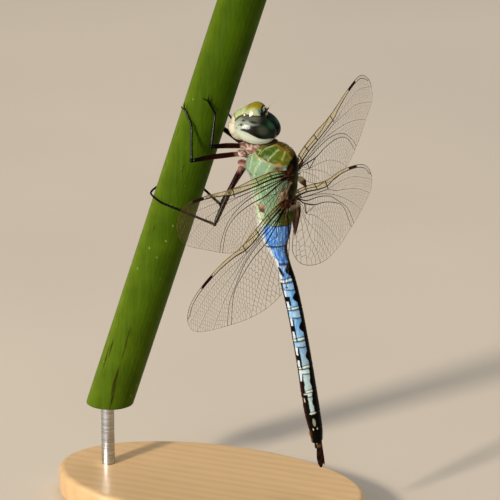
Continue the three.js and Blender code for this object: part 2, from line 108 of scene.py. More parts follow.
# Each wing in its own plane, as (distance along the span, distance forward of its axis), and
# its flap as (u, v, height, half breadth).
WINGS = {
    "forewing": {
        "root": (0.6, 1.8, 6.24), "sweep": 0.126, "droop": -0.073, "twist": 0.21,
        "front": ((0.6, 1.0), (6, 1.8), (15, 1.7), (25, 1.3), (37, 1.8), (45, 1.5), (49, -0.6)),
        "rear": ((50.0, -3.2), (48, -5.8), (40, -8.3), (29, -10.9), (18, -10.4), (8, -6.6),
                 (0.6, -1.6)),
        "veins": (
            ((0.6, 0.7), (8, 1.2), (16, 0.95), (24.9, 1.25)),
            ((0.6, 0.25), (8, 0.55), (16, 0.3), (24.9, 0.2), (29, 0.65), (34, 1.1), (38, 1.27),
             (42.5, 1.2), (46, 0.55), (49.3, -1.5)),
            ((0.6, 0.1), (3.5, -0.1), (10, -0.3), (18, -0.4), (24.9, -0.5), (33, -0.3), (42, -0.6),
             (49.4, -2.9)),
            ((0.6, 0.1), (3.5, -0.1), (10, -0.3), (18, -0.45), (25, -0.75), (33, -1.8), (40, -2.9),
             (47.9, -5.8)),
            ((0.6, 0.1), (3.5, -0.1), (10, -0.35), (14, -0.7), (20, -1.4), (28, -2.8), (36, -4.9),
             (42.3, -7.4)),
            ((0.6, 0.0), (3.5, -0.3), (9, -0.9), (16, -1.5), (23, -2.6), (28.8, -4.65),
             (32.3, -7.4), (33.9, -9.8)),
            ((0.6, 0.0), (3.5, -0.6), (6.5, -1.3), (12, -2.4), (18, -2.9), (25, -4.1), (30, -6.3),
             (32.7, -10.1)),
            ((0.6, -0.4), (4.0, -1.1), (6.8, -2.7), (12, -4.0), (18, -5.9), (23, -8.6),
             (25.6, -10.8)),
            ((0.6, -0.6), (3.6, -1.5), (6.8, -3.0), (11, -5.0), (15, -7.4), (18.0, -10.4)),
            ((0.6, -0.9), (3.2, -1.8), (6.0, -3.4), (9.5, -5.8), (11.8, -8.4)),
        ),
        "triangle": ((6.5, -1.35), (6.9, -2.8), (11.2, -2.4)),
        "flap": ((0.3, -1.5, 0.0, 0.7), (0.9, -2.5, 0.1, 1.0), (1.9, -3.9, 0.3, 0.6),
                 (2.9, -5.3, 0.5, 0.05)),
        "flap_brown": "#63422a",
        "nodus": 24.9, "stigma": (37.0, 42.6), "cell": (0.66, 1.05),
    },
    "hindwing": {
        "root": (0, 1.8, 0), "sweep": -0.173, "droop": -0.034, "twist": 0.175,
        "front": ((0.6, 1.2), (8.5, 1.5), (16, 1.2), (22, 1.1), (31, 2.0), (42, 1.8), (47.2, 0.4)),
        "rear": ((48.6, -2.4), (45.6, -5.3), (37, -8.9), (27, -12.4), (18, -14.6), (9, -15.0),
                 (3.4, -13.6), (0.7, -9.4), (0.6, -2.0)),
        "veins": (
            ((0.6, 0.8), (8, 1.0), (15, 0.65), (20.4, 1.05)),
            ((0.6, 0.35), (8, 0.4), (15, 0.0), (20.4, 0.0), (25, 0.8), (31, 1.4), (37, 1.5),
             (42, 1.2), (45.5, 0.4), (48.0, -1.2)),
            ((0.6, 0.2), (3.8, -0.3), (9, -0.5), (15, -0.6), (20.4, -0.6), (30, -0.1), (38, -0.3),
             (48.3, -2.2)),
            ((0.6, 0.2), (3.8, -0.3), (9, -0.5), (15, -0.65), (21, -0.85), (26, -1.7), (33, -2.3),
             (40, -3.2), (46.2, -4.9)),
            ((0.6, 0.2), (3.8, -0.3), (9, -0.6), (13, -0.85), (20, -1.6), (27, -3.0), (34, -5.1),
             (40.2, -7.7)),
            ((0.6, 0.1), (3.8, -0.6), (7.8, -1.4), (15.4, -1.6), (22, -2.4), (26, -3.8),
             (31.6, -6.2), (34.6, -9.8)),
            ((0.6, 0.1), (3.8, -0.9), (6.4, -1.8), (12.7, -2.9), (18, -3.1), (24, -4.0),
             (29.2, -5.6), (32.9, -10.4)),
            ((0.6, -0.5), (4.4, -1.7), (6.8, -3.9), (12, -5.2), (18, -8.0), (22.5, -11.0),
             (25.0, -13.0)),
            ((0.6, -0.8), (4.0, -2.4), (6.9, -5.2), (10, -7.4), (14.5, -10.3), (18.6, -14.4)),
            ((0.6, -1.0), (3.6, -2.7), (6.3, -5.6), (8.4, -9.4), (10.6, -12.0), (11.8, -15.0)),
            ((0.6, -1.2), (3.0, -2.9), (4.6, -6.0), (5.6, -10.0), (6.0, -14.7)),
            ((0.6, -1.4), (1.9, -3.2), (2.4, -7.0), (2.6, -12.9)),
        ),
        "triangle": ((6.4, -1.85), (6.8, -3.95), (12.0, -3.1)),
        "flap": ((0.7, -0.5, -0.2, 0.9), (0.9, -1.6, -0.2, 1.3), (1.0, -4.9, 0.05, 0.75),
                 (0.9, -7.9, 0.2, 0.05)),
        "flap_brown": "#8a6850",
        "nodus": 20.4, "stigma": (34.7, 40.8), "cell": (0.72, 1.15),
    },
}
# How thick the long veins behind the subcosta are, from front to rear.
VEIN_SHARES = (1.0, 0.45, 0.55, 0.5, 0.75, 0.85, 0.32, 0.3, 0.26, 0.2, 0.18)


# ------------------------------------------------------------------ colours and materials


def linear(hex_code):
    """An sRGB hex colour as linear red, green and blue."""
    channels = [int(hex_code[i:i + 2], 16) / 255 for i in (1, 3, 5)]
    return tuple(c / 12.92 if c <= 0.04045 else ((c + 0.055) / 1.055) ** 2.4 for c in channels)


class Finish:
    """A material while it is built: its node tree, its shader and its Object coordinates."""

    def __init__(self, name, **shader):
        self.material = bpy.data.materials.new(name)
        self.material.use_nodes = True
        self.tree = self.material.node_tree
        self.shader = self.tree.nodes["Principled BSDF"]
        self.feed(self.shader, {key.replace("_", " "): value for key, value in shader.items()})
        self.place = self.add("ShaderNodeTexCoord").outputs["Object"]

    def feed(self, node, inputs):
        """Sets a node's inputs to values, or links them to a socket or a node's first output."""
        for key, value in inputs.items():
            if isinstance(value, bpy.types.Node):
                value = value.outputs[0]
            if isinstance(value, bpy.types.NodeSocket):
                self.tree.links.new(value, node.inputs[key])
            else:
                node.inputs[key].default_value = value

    def add(self, kind, inputs=None, stops=(), **settings):
        """A new node with its settings, its values and links and, for a ramp, its stops."""
        made = self.tree.nodes.new(kind)
        for key, value in settings.items():
            setattr(made, key, value)
        self.feed(made, inputs or {})
        for index, (place, shade) in enumerate(stops):
            marks = made.color_ramp.elements
            stop = marks[index] if index < 2 else marks.new(place)
            stop.position, stop.color = place, (*shade, 1)
        return made

    def painted(self, shade):
        """The markings stored on the piece, made lighter or darker by a pattern."""
        markings = self.add("ShaderNodeAttribute", attribute_name="Markings")
        return self.add("ShaderNodeVectorMath", {0: markings, "Scale": shade}, operation="SCALE")

    def surface(self, colour, gloss=None, relief=None, **bump):
        """Gives the shader its colour, roughness and relief, and returns the material.

        gloss is (pattern, lowest, highest) and relief is (pattern, strength, depth in mm).
        """
        ends = {"Base Color": colour}
        if gloss:
            pattern, low, high = gloss
            ends["Roughness"] = self.add(
                "ShaderNodeMapRange", {"Value": pattern, "To Min": low, "To Max": high})
        if relief:
            pattern, strength, depth = relief
            ends["Normal"] = self.add("ShaderNodeBump", {
                "Height": pattern, "Strength": strength, "Distance": depth * MM}, **bump)
        self.feed(self.shader, ends)
        return self.material


def painted_cuticle(name, grain_mm, grain_depth, shades, rough, **shader):
    """Insect cuticle: its markings, clouded by a fine grain that also roughens the surface.

    The grain gives the eye a living, slightly uneven colour and breaks up the highlights.
    """
    finish = Finish(name, **{"Specular_IOR_Level": 0.025, **shader})
    cloud = finish.add("ShaderNodeTexNoise", {
        "Vector": finish.place, "Scale": 1 / (grain_mm * 6 * MM), "Detail": 4.0})
    pits = finish.add("ShaderNodeTexVoronoi", {
        "Vector": finish.place, "Scale": 1 / (grain_mm * MM)})
    shade = finish.add("ShaderNodeMapRange", {
        "Value": cloud, "From Min": 0.3, "From Max": 0.7, "To Min": shades[0], "To Max": shades[1]})
    return finish.surface(finish.painted(shade), (cloud, rough * 0.8, rough * 1.25),
                          (pits, 0.5, grain_depth))


# ------------------------------------------------------------------ small numeric helpers


def clamp(value, low=0, high=1):
    """The value, kept between the low and the high one."""
    return min(max(value, low), high)


def rise(value, edge, soft):
    """0 below the edge, 1 above it, and smooth over a width of `soft` to each side."""
    share = np.clip((value - edge + soft) / (2 * soft), 0, 1)
    return share * share * (3 - 2 * share)


def fall(value, edge, soft):
    """1 below the edge and 0 above it."""
    return 1 - rise(value, edge, soft)


def within(value, low, high, soft):
    """1 between the two edges and 0 outside them."""
    return rise(value, low, soft) * fall(value, high, soft)


def hump(value, centre, width):
    """1 at the centre, falling off smoothly to each side."""
    return np.exp(-((value - centre) / width) ** 2)


def values_of(colour):
    """A hex code, or linear values, as an array."""
    return np.array(linear(colour) if isinstance(colour, str) else colour)


def coats(base, *layers):
    """A colour under layers of (colour, share), each thinner or thicker from point to point."""
    rgb = values_of(base)
    for colour, share in layers:
        rgb = rgb + (values_of(colour) - rgb) * np.asarray(share)[..., None]
    return rgb


def chosen(mask, over, under):
    """One colour where the mask is true, and another elsewhere."""
    return np.where(mask[:, None], over, under)


def distance_to(lines, x, y):
    """Every point's distance to the nearest of some bent lines in the plane."""
    nearest = np.full(len(x), 1e9)
    for line in lines:
        for (ax, ay), (bx, by) in zip(line, line[1:]):
            dx, dy = bx - ax, by - ay
            share = np.clip(((x - ax) * dx + (y - ay) * dy) / (dx ** 2 + dy ** 2), 0, 1)
            nearest = np.minimum(nearest, np.hypot(x - ax - share * dx, y - ay - share * dy))
    return nearest


def rough_edge(points, size_mm, amount=1.0):
    """Smooth random values that make a drawn edge wander."""
    return np.array([noise.noise(Vector(p) / size_mm) for p in points]) * amount


def reach_of(line):
    """The distance along a line of points, at each of them."""
    return np.concatenate([[0], np.cumsum(np.linalg.norm(np.diff(line, axis=0), axis=1))])


def spline(points, steps):
    """Points evenly spaced along a smooth curve through the given ones."""
    given = np.array(points, float)
    padded = np.vstack([given[0], given, given[-1]])
    share = np.linspace(0, 1, 12, endpoint=False)[:, None]
    dense = []
    for a, b, c, d in zip(padded, padded[1:], padded[2:], padded[3:]):
        dense.append(0.5 * (2 * b + (c - a) * share + (2 * a - 5 * b + 4 * c - d) * share ** 2
                            + (3 * b - a - 3 * c + d) * share ** 3))
    dense = np.vstack([*dense, given[-1]])
    reach = reach_of(dense)
    wanted = np.linspace(0, reach[-1], steps + 1)
    return np.stack([np.interp(wanted, reach, dense[:, i]) for i in range(dense.shape[1])], 1)


def square_to(vector, ahead):
    """The unit part of a vector at right angles to a unit direction."""
    return (vector - ahead * vector.dot(ahead)).normalized()


# ------------------------------------------------------------------ making and finishing meshes


def shell(bm, rows, columns, place, part=0):
    """A closed tube: a grid rolled up by place(t, turn), with its seam and its two ends merged."""
    along, around, number = [
        bm.verts.layers.float.get(name) or bm.verts.layers.float.new(name)
        for name in ("along", "around", "part")]
    made = bmesh.ops.create_grid(bm, x_segments=rows, y_segments=columns, size=0.5)["verts"]
    for vert in made:
        t, turn = vert.co.x + 0.5, (vert.co.y + 0.5) * math.tau
        vert[along] = t
        vert[around] = 180 * (1 - abs(1 - turn / math.pi))
        vert[number] = part
        vert.co = place(t, turn)
    bmesh.ops.remove_doubles(bm, verts=made, dist=1e-4)


def blob(bm, centre, radii, tilt=0.0, turn=0.0, segments=32):
    """An ellipsoid, tilted about Y and then turned about Z."""
    matrix = (Matrix.Translation(centre) @ Matrix.Rotation(turn, 4, "Z")
              @ Matrix.Rotation(tilt, 4, "Y") @ Matrix.Diagonal((*radii, 1)))
    bmesh.ops.create_uvsphere(
        bm, u_segments=segments, v_segments=segments // 2, radius=1, matrix=matrix)


def spike(bm, base, tip, radius, sides):
    """A thin closed cone from base to tip: a spine or a hair. Gives its points."""
    line = tip - base
    turned = line.to_track_quat("Z", "Y").to_matrix().to_4x4()
    return bmesh.ops.create_cone(
        bm, cap_ends=True, cap_tris=True, segments=sides, radius1=radius, radius2=radius * 0.12,
        depth=line.length, matrix=Matrix.Translation((base + tip) / 2) @ turned)["verts"]


def tube(bm, points, radius_at, sides, steps, part=0):
    """A round limb along a smooth curve; radius_at(t) gives its thickness."""
    line = [Vector(p) for p in spline(points, steps)]
    across = (line[1] - line[0]).orthogonal().normalized()
    rings = []
    for i, centre in enumerate(line):
        ahead = (line[min(i + 1, steps)] - line[max(i - 1, 0)]).normalized()
        across = square_to(across, ahead)
        rings.append((centre, across, ahead.cross(across)))

    def place(t, turn):
        centre, side, other = rings[round(t * steps)]
        radius = 0.0 if t < 1e-6 or t > 1 - 1e-6 else radius_at(t)
        return centre + radius * (side * math.cos(turn) + other * math.sin(turn))

    shell(bm, steps, sides, place, part)


def mesh_object(name, mesh, material, smooth=True):
    """A new object that shows a mesh in one material."""
    mesh.polygons.foreach_set("use_smooth", [smooth] * len(mesh.polygons))
    mesh.materials.clear()
    mesh.materials.append(material)
    piece = bpy.data.objects.new(name, mesh)
    bpy.context.scene.collection.objects.link(piece)
    return piece


def to_object(name, bm, material, smooth=True):
    """Ends a bmesh as an object, with its faces pointing outwards."""
    bmesh.ops.recalc_face_normals(bm, faces=bm.faces)
    mesh = bpy.data.meshes.new(name)
    bm.to_mesh(mesh)
    bm.free()
    return mesh_object(name, mesh, material, smooth)


def evaluated_mesh(piece):
    """The mesh that the piece's curve or modifiers make."""
    graph = bpy.context.evaluated_depsgraph_get()
    return bpy.data.meshes.new_from_object(piece.evaluated_get(graph))


def points_of(mesh, normals=False):
    """The mesh's points, or their normals, as an array."""
    found = np.zeros(len(mesh.vertices) * 3, np.float32)
    if normals:
        mesh.vertex_normals.foreach_get("vector", found)
    else:
        mesh.vertices.foreach_get("co", found)
    return found.reshape(-1, 3).astype(float)


def set_points(mesh, points):
    """Moves the mesh's points to new places."""
    mesh.vertices.foreach_set("co", points.astype(np.float32).ravel())
    mesh.update()


def stored(mesh, name):
    """A stored value of every point as an array."""
    found = np.zeros(len(mesh.vertices), np.float32)
    mesh.attributes[name].data.foreach_get("value", found)
    return found.astype(float)


def emboss(mesh, height):
    """Moves every point along its normal by its height."""
    set_points(mesh, points_of(mesh) + points_of(mesh, normals=True) * height[:, None])


def paint(mesh, colours):
    """Stores the markings: one linear colour for every point."""
    rgba = np.ones((len(mesh.vertices), 4), np.float32)
    rgba[:, :3] = colours
    layer = mesh.color_attributes.new("Markings", "FLOAT_COLOR", "POINT")
    layer.data.foreach_set("color", rgba.ravel())


def settle(piece, replaces=(), origin=INSECT_ORIGIN):
    """Takes a finished piece from its modelling frame to the row frame, and makes it ride."""
    piece.data.transform(Matrix.Translation(origin) @ Matrix.Scale(MM, 4))
    piece.data.update()
    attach(piece, "root")
    if replaces:
        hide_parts(*replaces)


# ------------------------------------------------------------------ sizes and colours


def tint(name, description, hex_code):
    """A colour that a user can change."""
    return bpy.props.FloatVectorProperty(name=name, description=description, subtype="COLOR",
                                         size=3, min=0, max=1, default=linear(hex_code))


def length_mm(name, description, value):
    """A length that a user can change."""
    return bpy.props.FloatProperty(name=name + " (mm)", description=description, default=value,
                                   min=0, soft_max=10 * value)


class DarnerBodySettings(bpy.types.PropertyGroup):
    """Colours of the body's cuticle."""

    green: tint("Thorax green", "Side plates of the thorax", "#4c6214")
    pale_green: tint("Pale green", "Lower side plates", "#7f9f8a")
    olive: tint("Olive gold", "Front crest of the thorax", "#77641a")
    dark: tint("Dark cuticle", "Hollow between the wing roots, and the abdomen's stripe", "#070504")
    brown: tint("Brown", "Sutures, wing roots and the tail's underside", "#5a2f16")
    rose: tint("Pinkish brown", "Prothorax, coxae and breast", "#957468")
    blue: tint("Blue", "Front of the abdomen", "#4a96f0")
    sky: tint("Sky blue", "Middle of the abdomen", "#66a4e0")
    ice: tint("Ice blue", "Rear of the abdomen", "#b4cdd0")
    lilac: tint("Lilac white", "Lower edge of the blue", "#cfdbea")
    cream: tint("Cream", "Marks at the joints", "#e2e4c6")


class DarnerHeadSettings(bpy.types.PropertyGroup):
    """Colours of the face and the eyes."""

    face: tint("Face", "Yellow-green of the frons", "#a4ac7c")
    brow: tint("Brow", "Olive yellow on top of the frons", "#8a7f1c")
    lip: tint("Lip", "Cream of the clypeus and labrum", "#d9d4c0")
    spot_blue: tint("Brow blue", "Crescent in front of the dark brow spot", "#2f8098")
    eye_pale: tint("Pale eye", "Front and lower part of the eye", "#b4c0b0")
    eye_dark: tint("Dark eye", "Cap of the eye", "#020201")
    eye_green: tint("Green eye", "Rear of the eye's cap", "#0c2010")


class DarnerWingSettings(bpy.types.PropertyGroup):
    """Sizes and colours of the wings."""

    crossvein: length_mm("Crossvein radius", "Radius of the veins of the net", 0.026)
    main_vein: length_mm("Main vein radius", "Radius of the long veins at the root", 0.24)
    membrane: length_mm("Membrane thickness", "Thickness of the clear sheet", 0.02)
    clear: tint("Membrane", "Faint amber of the sheet", "#ead3a0")
    net: tint("Net", "Brown of the small veins", "#452f10")
    vein: tint("Vein", "Dark brown of the long veins", "#1a0e04")
    costa: tint("Costa", "Amber of the leading edge", "#9c7a42")
    stigma: tint("Stigma", "Brown cell near the tip", "#331602")


class DarnerPerchSettings(bpy.types.PropertyGroup):
    """Colours of the legs, the reed and the stand."""

    chitin: tint("Leg chitin", "Black of the legs", "#060403")
    thigh: tint("Thigh", "Dark red-brown at the leg's base", "#280905")
    reed: tint("Reed", "Green of the reed", "#3a5304")
    pith: tint("Pith", "Pale inside of the cut reed", "#d9d3a0")
    maple: tint("Maple", "Wood of the base", "#d9b482")


class DarnerStageSettings(bpy.types.PropertyGroup):
    """The studio."""

    floor: tint("Floor", "Pale floor", "#cdc1b0")
    key: bpy.props.FloatProperty(name="Key light", description="Power of the key light",
                                 default=68.0, min=0, unit="POWER")
    fill: bpy.props.FloatProperty(name="World light", description="Strength of the even light",
                                  default=0.25, min=0)


# ------------------------------------------------------------------ body


def body_ring(z):
    """Centre, half depth, half width and lean of the body's ring at a height."""
    heights = [ring[0] for ring in BODY_RINGS]
    last = len(heights) - 1
    i = clamp(sum(z < h for h in heights) - 1, 0, last - 1)
    step = heights[i + 1] - heights[i]
    share = clamp((z - heights[i]) / step)
    t2, t3 = share ** 2, share ** 3
    values = []
    for k in (1, 2, 3):
        slopes = []
        for j in (i, i + 1):
            a, b = BODY_RINGS[max(j - 1, 0)], BODY_RINGS[min(j + 1, last)]
            slopes.append((b[k] - a[k]) / (b[0] - a[0]) * step)
        values.append(BODY_RINGS[i][k] * (2 * t3 - 3 * t2 + 1) + slopes[0] * (t3 - 2 * t2 + share)
                      + BODY_RINGS[i + 1][k] * (3 * t2 - 2 * t3) + slopes[1] * (t3 - t2))
    return (*values, LEAN * clamp((-7.0 - z) / 6.0))


BODY_TOP, BODY_TAIL = 12.45, -52.1  # heights of the body skin's two ends

# Lines drawn on the thorax as (height, angle from the back): sutures are dark furrows, and the
# pale network runs over the side plates.
SUTURES = (
    ((10.2, 150), (10.1, 137), (9.9, 113), (9.7, 99), (9.3, 86), (9.1, 75), (8.7, 60)),
    ((7.9, 62), (6.6, 84), (4.6, 108), (2.2, 128), (0.4, 140)),
    ((5.2, 50), (3.4, 74), (1.2, 100), (-0.8, 128)),
)
PALE_LINES = (
    ((10.0, 146), (9.3, 131), (8.5, 125), (7.6, 124), (7.0, 129)),
    ((10.4, 144), (9.9, 117), (9.2, 100), (8.5, 103), (7.8, 107), (6.9, 111), (5.8, 120)),
    ((11.6, 53), (11.3, 66), (10.8, 75), (10.3, 81), (9.6, 84)),
    ((12.2, 79), (11.9, 102), (11.5, 112), (11.0, 116), (10.6, 115)),
    ((11.2, 32), (10.4, 45), (9.7, 49)),
    ((8.9, 75), (8.4, 78), (7.8, 81), (6.6, 88)),
    ((11.0, 144), (11.1, 125), (10.6, 123), (10.1, 125)),
    ((5.6, 92), (4.6, 96), (3.0, 92)),
    ((3.6, 118), (2.2, 108), (0.9, 112)),
)
CREST = ((12.3, 114), (12.35, 68), (12.05, 41), (11.3, 30), (10.3, 25), (9.3, 20))


def line_mask(lines, z, angle, width):
    """1 on drawn lines of (height, angle), and 0 away from them."""
    flat = [[(height, at * SKIN_MM) for height, at in line] for line in lines]
    return hump(distance_to(flat, z, angle * SKIN_MM), 0, width)


def segment_shares(ring_z):
    """For every point, its abdominal segment (0 for the thorax) and its share along that."""
    number, share = np.zeros(len(ring_z), int), np.zeros(len(ring_z))
    for n, (top, bottom) in enumerate(zip(JOINTS, JOINTS[1:]), 1):
        inside = (ring_z <= top) & (ring_z > bottom)
        number[inside] = n
        share[inside] = (top - ring_z[inside]) / (top - bottom)
    number[ring_z <= JOINTS[-1]] = 10
    share[ring_z <= JOINTS[-1]] = 1.0
    return number, share


def body_relief(z, angle):
    """Height of the furrows, ridges and swellings on the body's surface."""
    height = np.zeros(len(z))
    for joint in JOINTS[1:-1]:
        height += 0.035 * hump(z, joint + 0.3, 0.22) - 0.07 * hump(z, joint, 0.11)
    number, share = segment_shares(z)
    for n, place in CARINAE.items():
        height += 0.025 * (number == n) * hump(share, place, 0.018)
    thorax = rise(z, -1.9, 0.2)
    height -= 0.09 * thorax * line_mask(SUTURES, z, angle, 0.13)
    height += 0.02 * thorax * line_mask(PALE_LINES, z, angle, 0.12)
    # The back between the wings is a row of rounded shields with hollows beside them.
    for centre, size, amount in ((8.6, 1.2, 0.22), (5.6, 0.9, 0.3), (2.9, 1.3, 0.25)):
        height += hump(angle, 0, 26) * amount * hump(z, centre, size)
    height -= 0.4 * thorax * hump(angle, 40, 10) * within(z, -0.6, 8.6, 0.8)
    height -= 0.15 * hump(angle, 180, 25) * within(z, -1.5, 9.0, 1.0)
    sunk = 1.7 * within(z, -2.9, 0.0, 0.7) + 0.45 * within(z, 0.0, 6.6, 0.8)
    height -= sunk * hump(angle, 0, 50)
    # The abdomen has a low keel along each side and a groove under it.
    tail = fall(z, -4.5, 1.5)
    return height + 0.04 * tail * hump(angle, 92, 7) - 0.10 * tail * hump(angle, 180, 16)


def thorax_colours(z, angle, points, c):
    """The thorax's markings and painted highlights, by the height and the angle from the back."""
    wander, fine = rough_edge(points, 2.2), rough_edge(points, 0.7)
    suture = np.interp(angle, [40, 66, 75, 86, 99, 113, 137, 160],
                       [8.6, 8.8, 9.1, 9.3, 9.7, 9.9, 10.1, 10.2])
    edge = np.interp(angle, [20, 25, 30, 41, 68, 114], [9.3, 10.3, 11.2, 12.0, 12.3, 12.3])
    # Behind the shoulder suture the side plates are a hazy mint, paler towards the belly.
    mint = coats(c.pale_green,
                 ("#73966c", rise(wander, -0.1, 0.3) * 0.5),
                 ("#d3e8cc", rise(angle, 118, 16) * fall(z, 4.0, 3.0) * 0.75))
    # The hollows at the wing roots are brown, with pale grains and dark cracks.
    hollow = np.maximum(within(z, -0.9, 3.7, 0.6) * within(angle, 35, 65 - 5 * np.abs(z - 1.9), 5),
                        0.7 * within(z, 5.2, 7.2, 0.5) * within(angle, 38, 50, 4))
    earth = coats("#7d4627",
                  ("#b9ab98", rise(fine, 0.06, 0.1) * 0.8),
                  ("#1d0d07", fall(np.abs(rough_edge(points, 0.8)), 0.05, 0.04)))
    # The black band along the back has an olive tinge on each of its shields.
    half = np.interp(z, [-2.2, -0.5, 1, 2.4, 4.2, 5.9, 7.2, 8.5, 9.3, 9.9, 10.3],
                     [20, 35, 38, 35, 38, 38, 41, 37, 28, 12, -6])
    shields = hump(z, 5.2, 1.3) + 0.8 * hump(z, 2.2, 1.2) + 0.7 * hump(z, -0.8, 0.9)
    back = coats(c.dark,
                 ("#39420f", hump(angle, 4, 13) * shields),
                 ("#4a2a12", rise(fine, 0.1, 0.15) * hump(angle, 26, 7) * 0.7))
    crest_dark = np.maximum(hump(angle, 0, 9), rise(wander, 0.05, 0.15))
    rgb = coats(
        c.green,
        ("#344c0c", rise(wander, 0.0, 0.3) * 0.7),
        (mint, fall(z, suture, 0.15) * 0.95),
        ("#a9b88a", rise(fine, 0.12, 0.15) * 0.15),
        ("#6f6410", rise(z, suture, 0.2) * hump(angle, 44, 14) * 0.6),
        ("#cfe39a", line_mask(PALE_LINES, z, angle, 0.1) * 0.65),
        ("#a08a66", line_mask(SUTURES[:1], z, angle, 0.15) * 0.8),
        (c.brown, line_mask(SUTURES[1:], z, angle, 0.14) * 0.6),
        # The olive gold crest in front is edged with a painted gold highlight, and a small painted
        # gold highlight sits beside a red-brown spot lower on the side.
        (c.olive, rise(z, edge, 0.25) * 0.95),
        ("#2c210a", rise(z, edge, 0.2) * crest_dark * 0.7),
        ("#b5822f", line_mask((CREST,), z, angle, 0.11) * fall(angle, 80, 20) * 0.65),
        ("#c08a3c", hump(z, 8.8, 0.4) * hump(angle, 56, 8) * 0.7),
        ("#5c2412", hump(z, 8.0, 0.45) * hump(angle, 60, 8)),
        (earth, hollow * 0.92),
        (back, fall(angle, half + 4 * wander, 3.5)))

    def spot(height, at, size, soft):
        return fall(np.hypot(z - height, (angle - at) * SKIN_MM), size, soft)

    for height, at, size, hue in ((7.7, 42, 0.3, "#cbbfa4"), (4.6, 27, 0.3, "#8a7c62"),
                                  (-1.1, 24, 0.5, "#d5cab0"), (2.6, 40, 0.25, "#a5754a")):
        rgb = coats(rgb, (hue, spot(height, at, size, 0.12) * 0.85))
    patch = within(z, -2.5, -0.4, 0.12) * fall(np.abs(angle - 114), 5 + 7 * (z + 2.4), 2.5)
    return coats(
        rgb,
        (c.rose, rise(angle, 148, 8) * within(z, -2.0, 9.4, 1.2) * 0.85),
        (coats("#4a2016", ("#a87a68", rise(z, -1.1, 0.4))), patch * 0.9),
        # Two breathing holes.
        (c.dark, spot(5.9, 132, 0.26, 0.08)),
        (c.dark, spot(6.4, 111, 0.17, 0.08)))


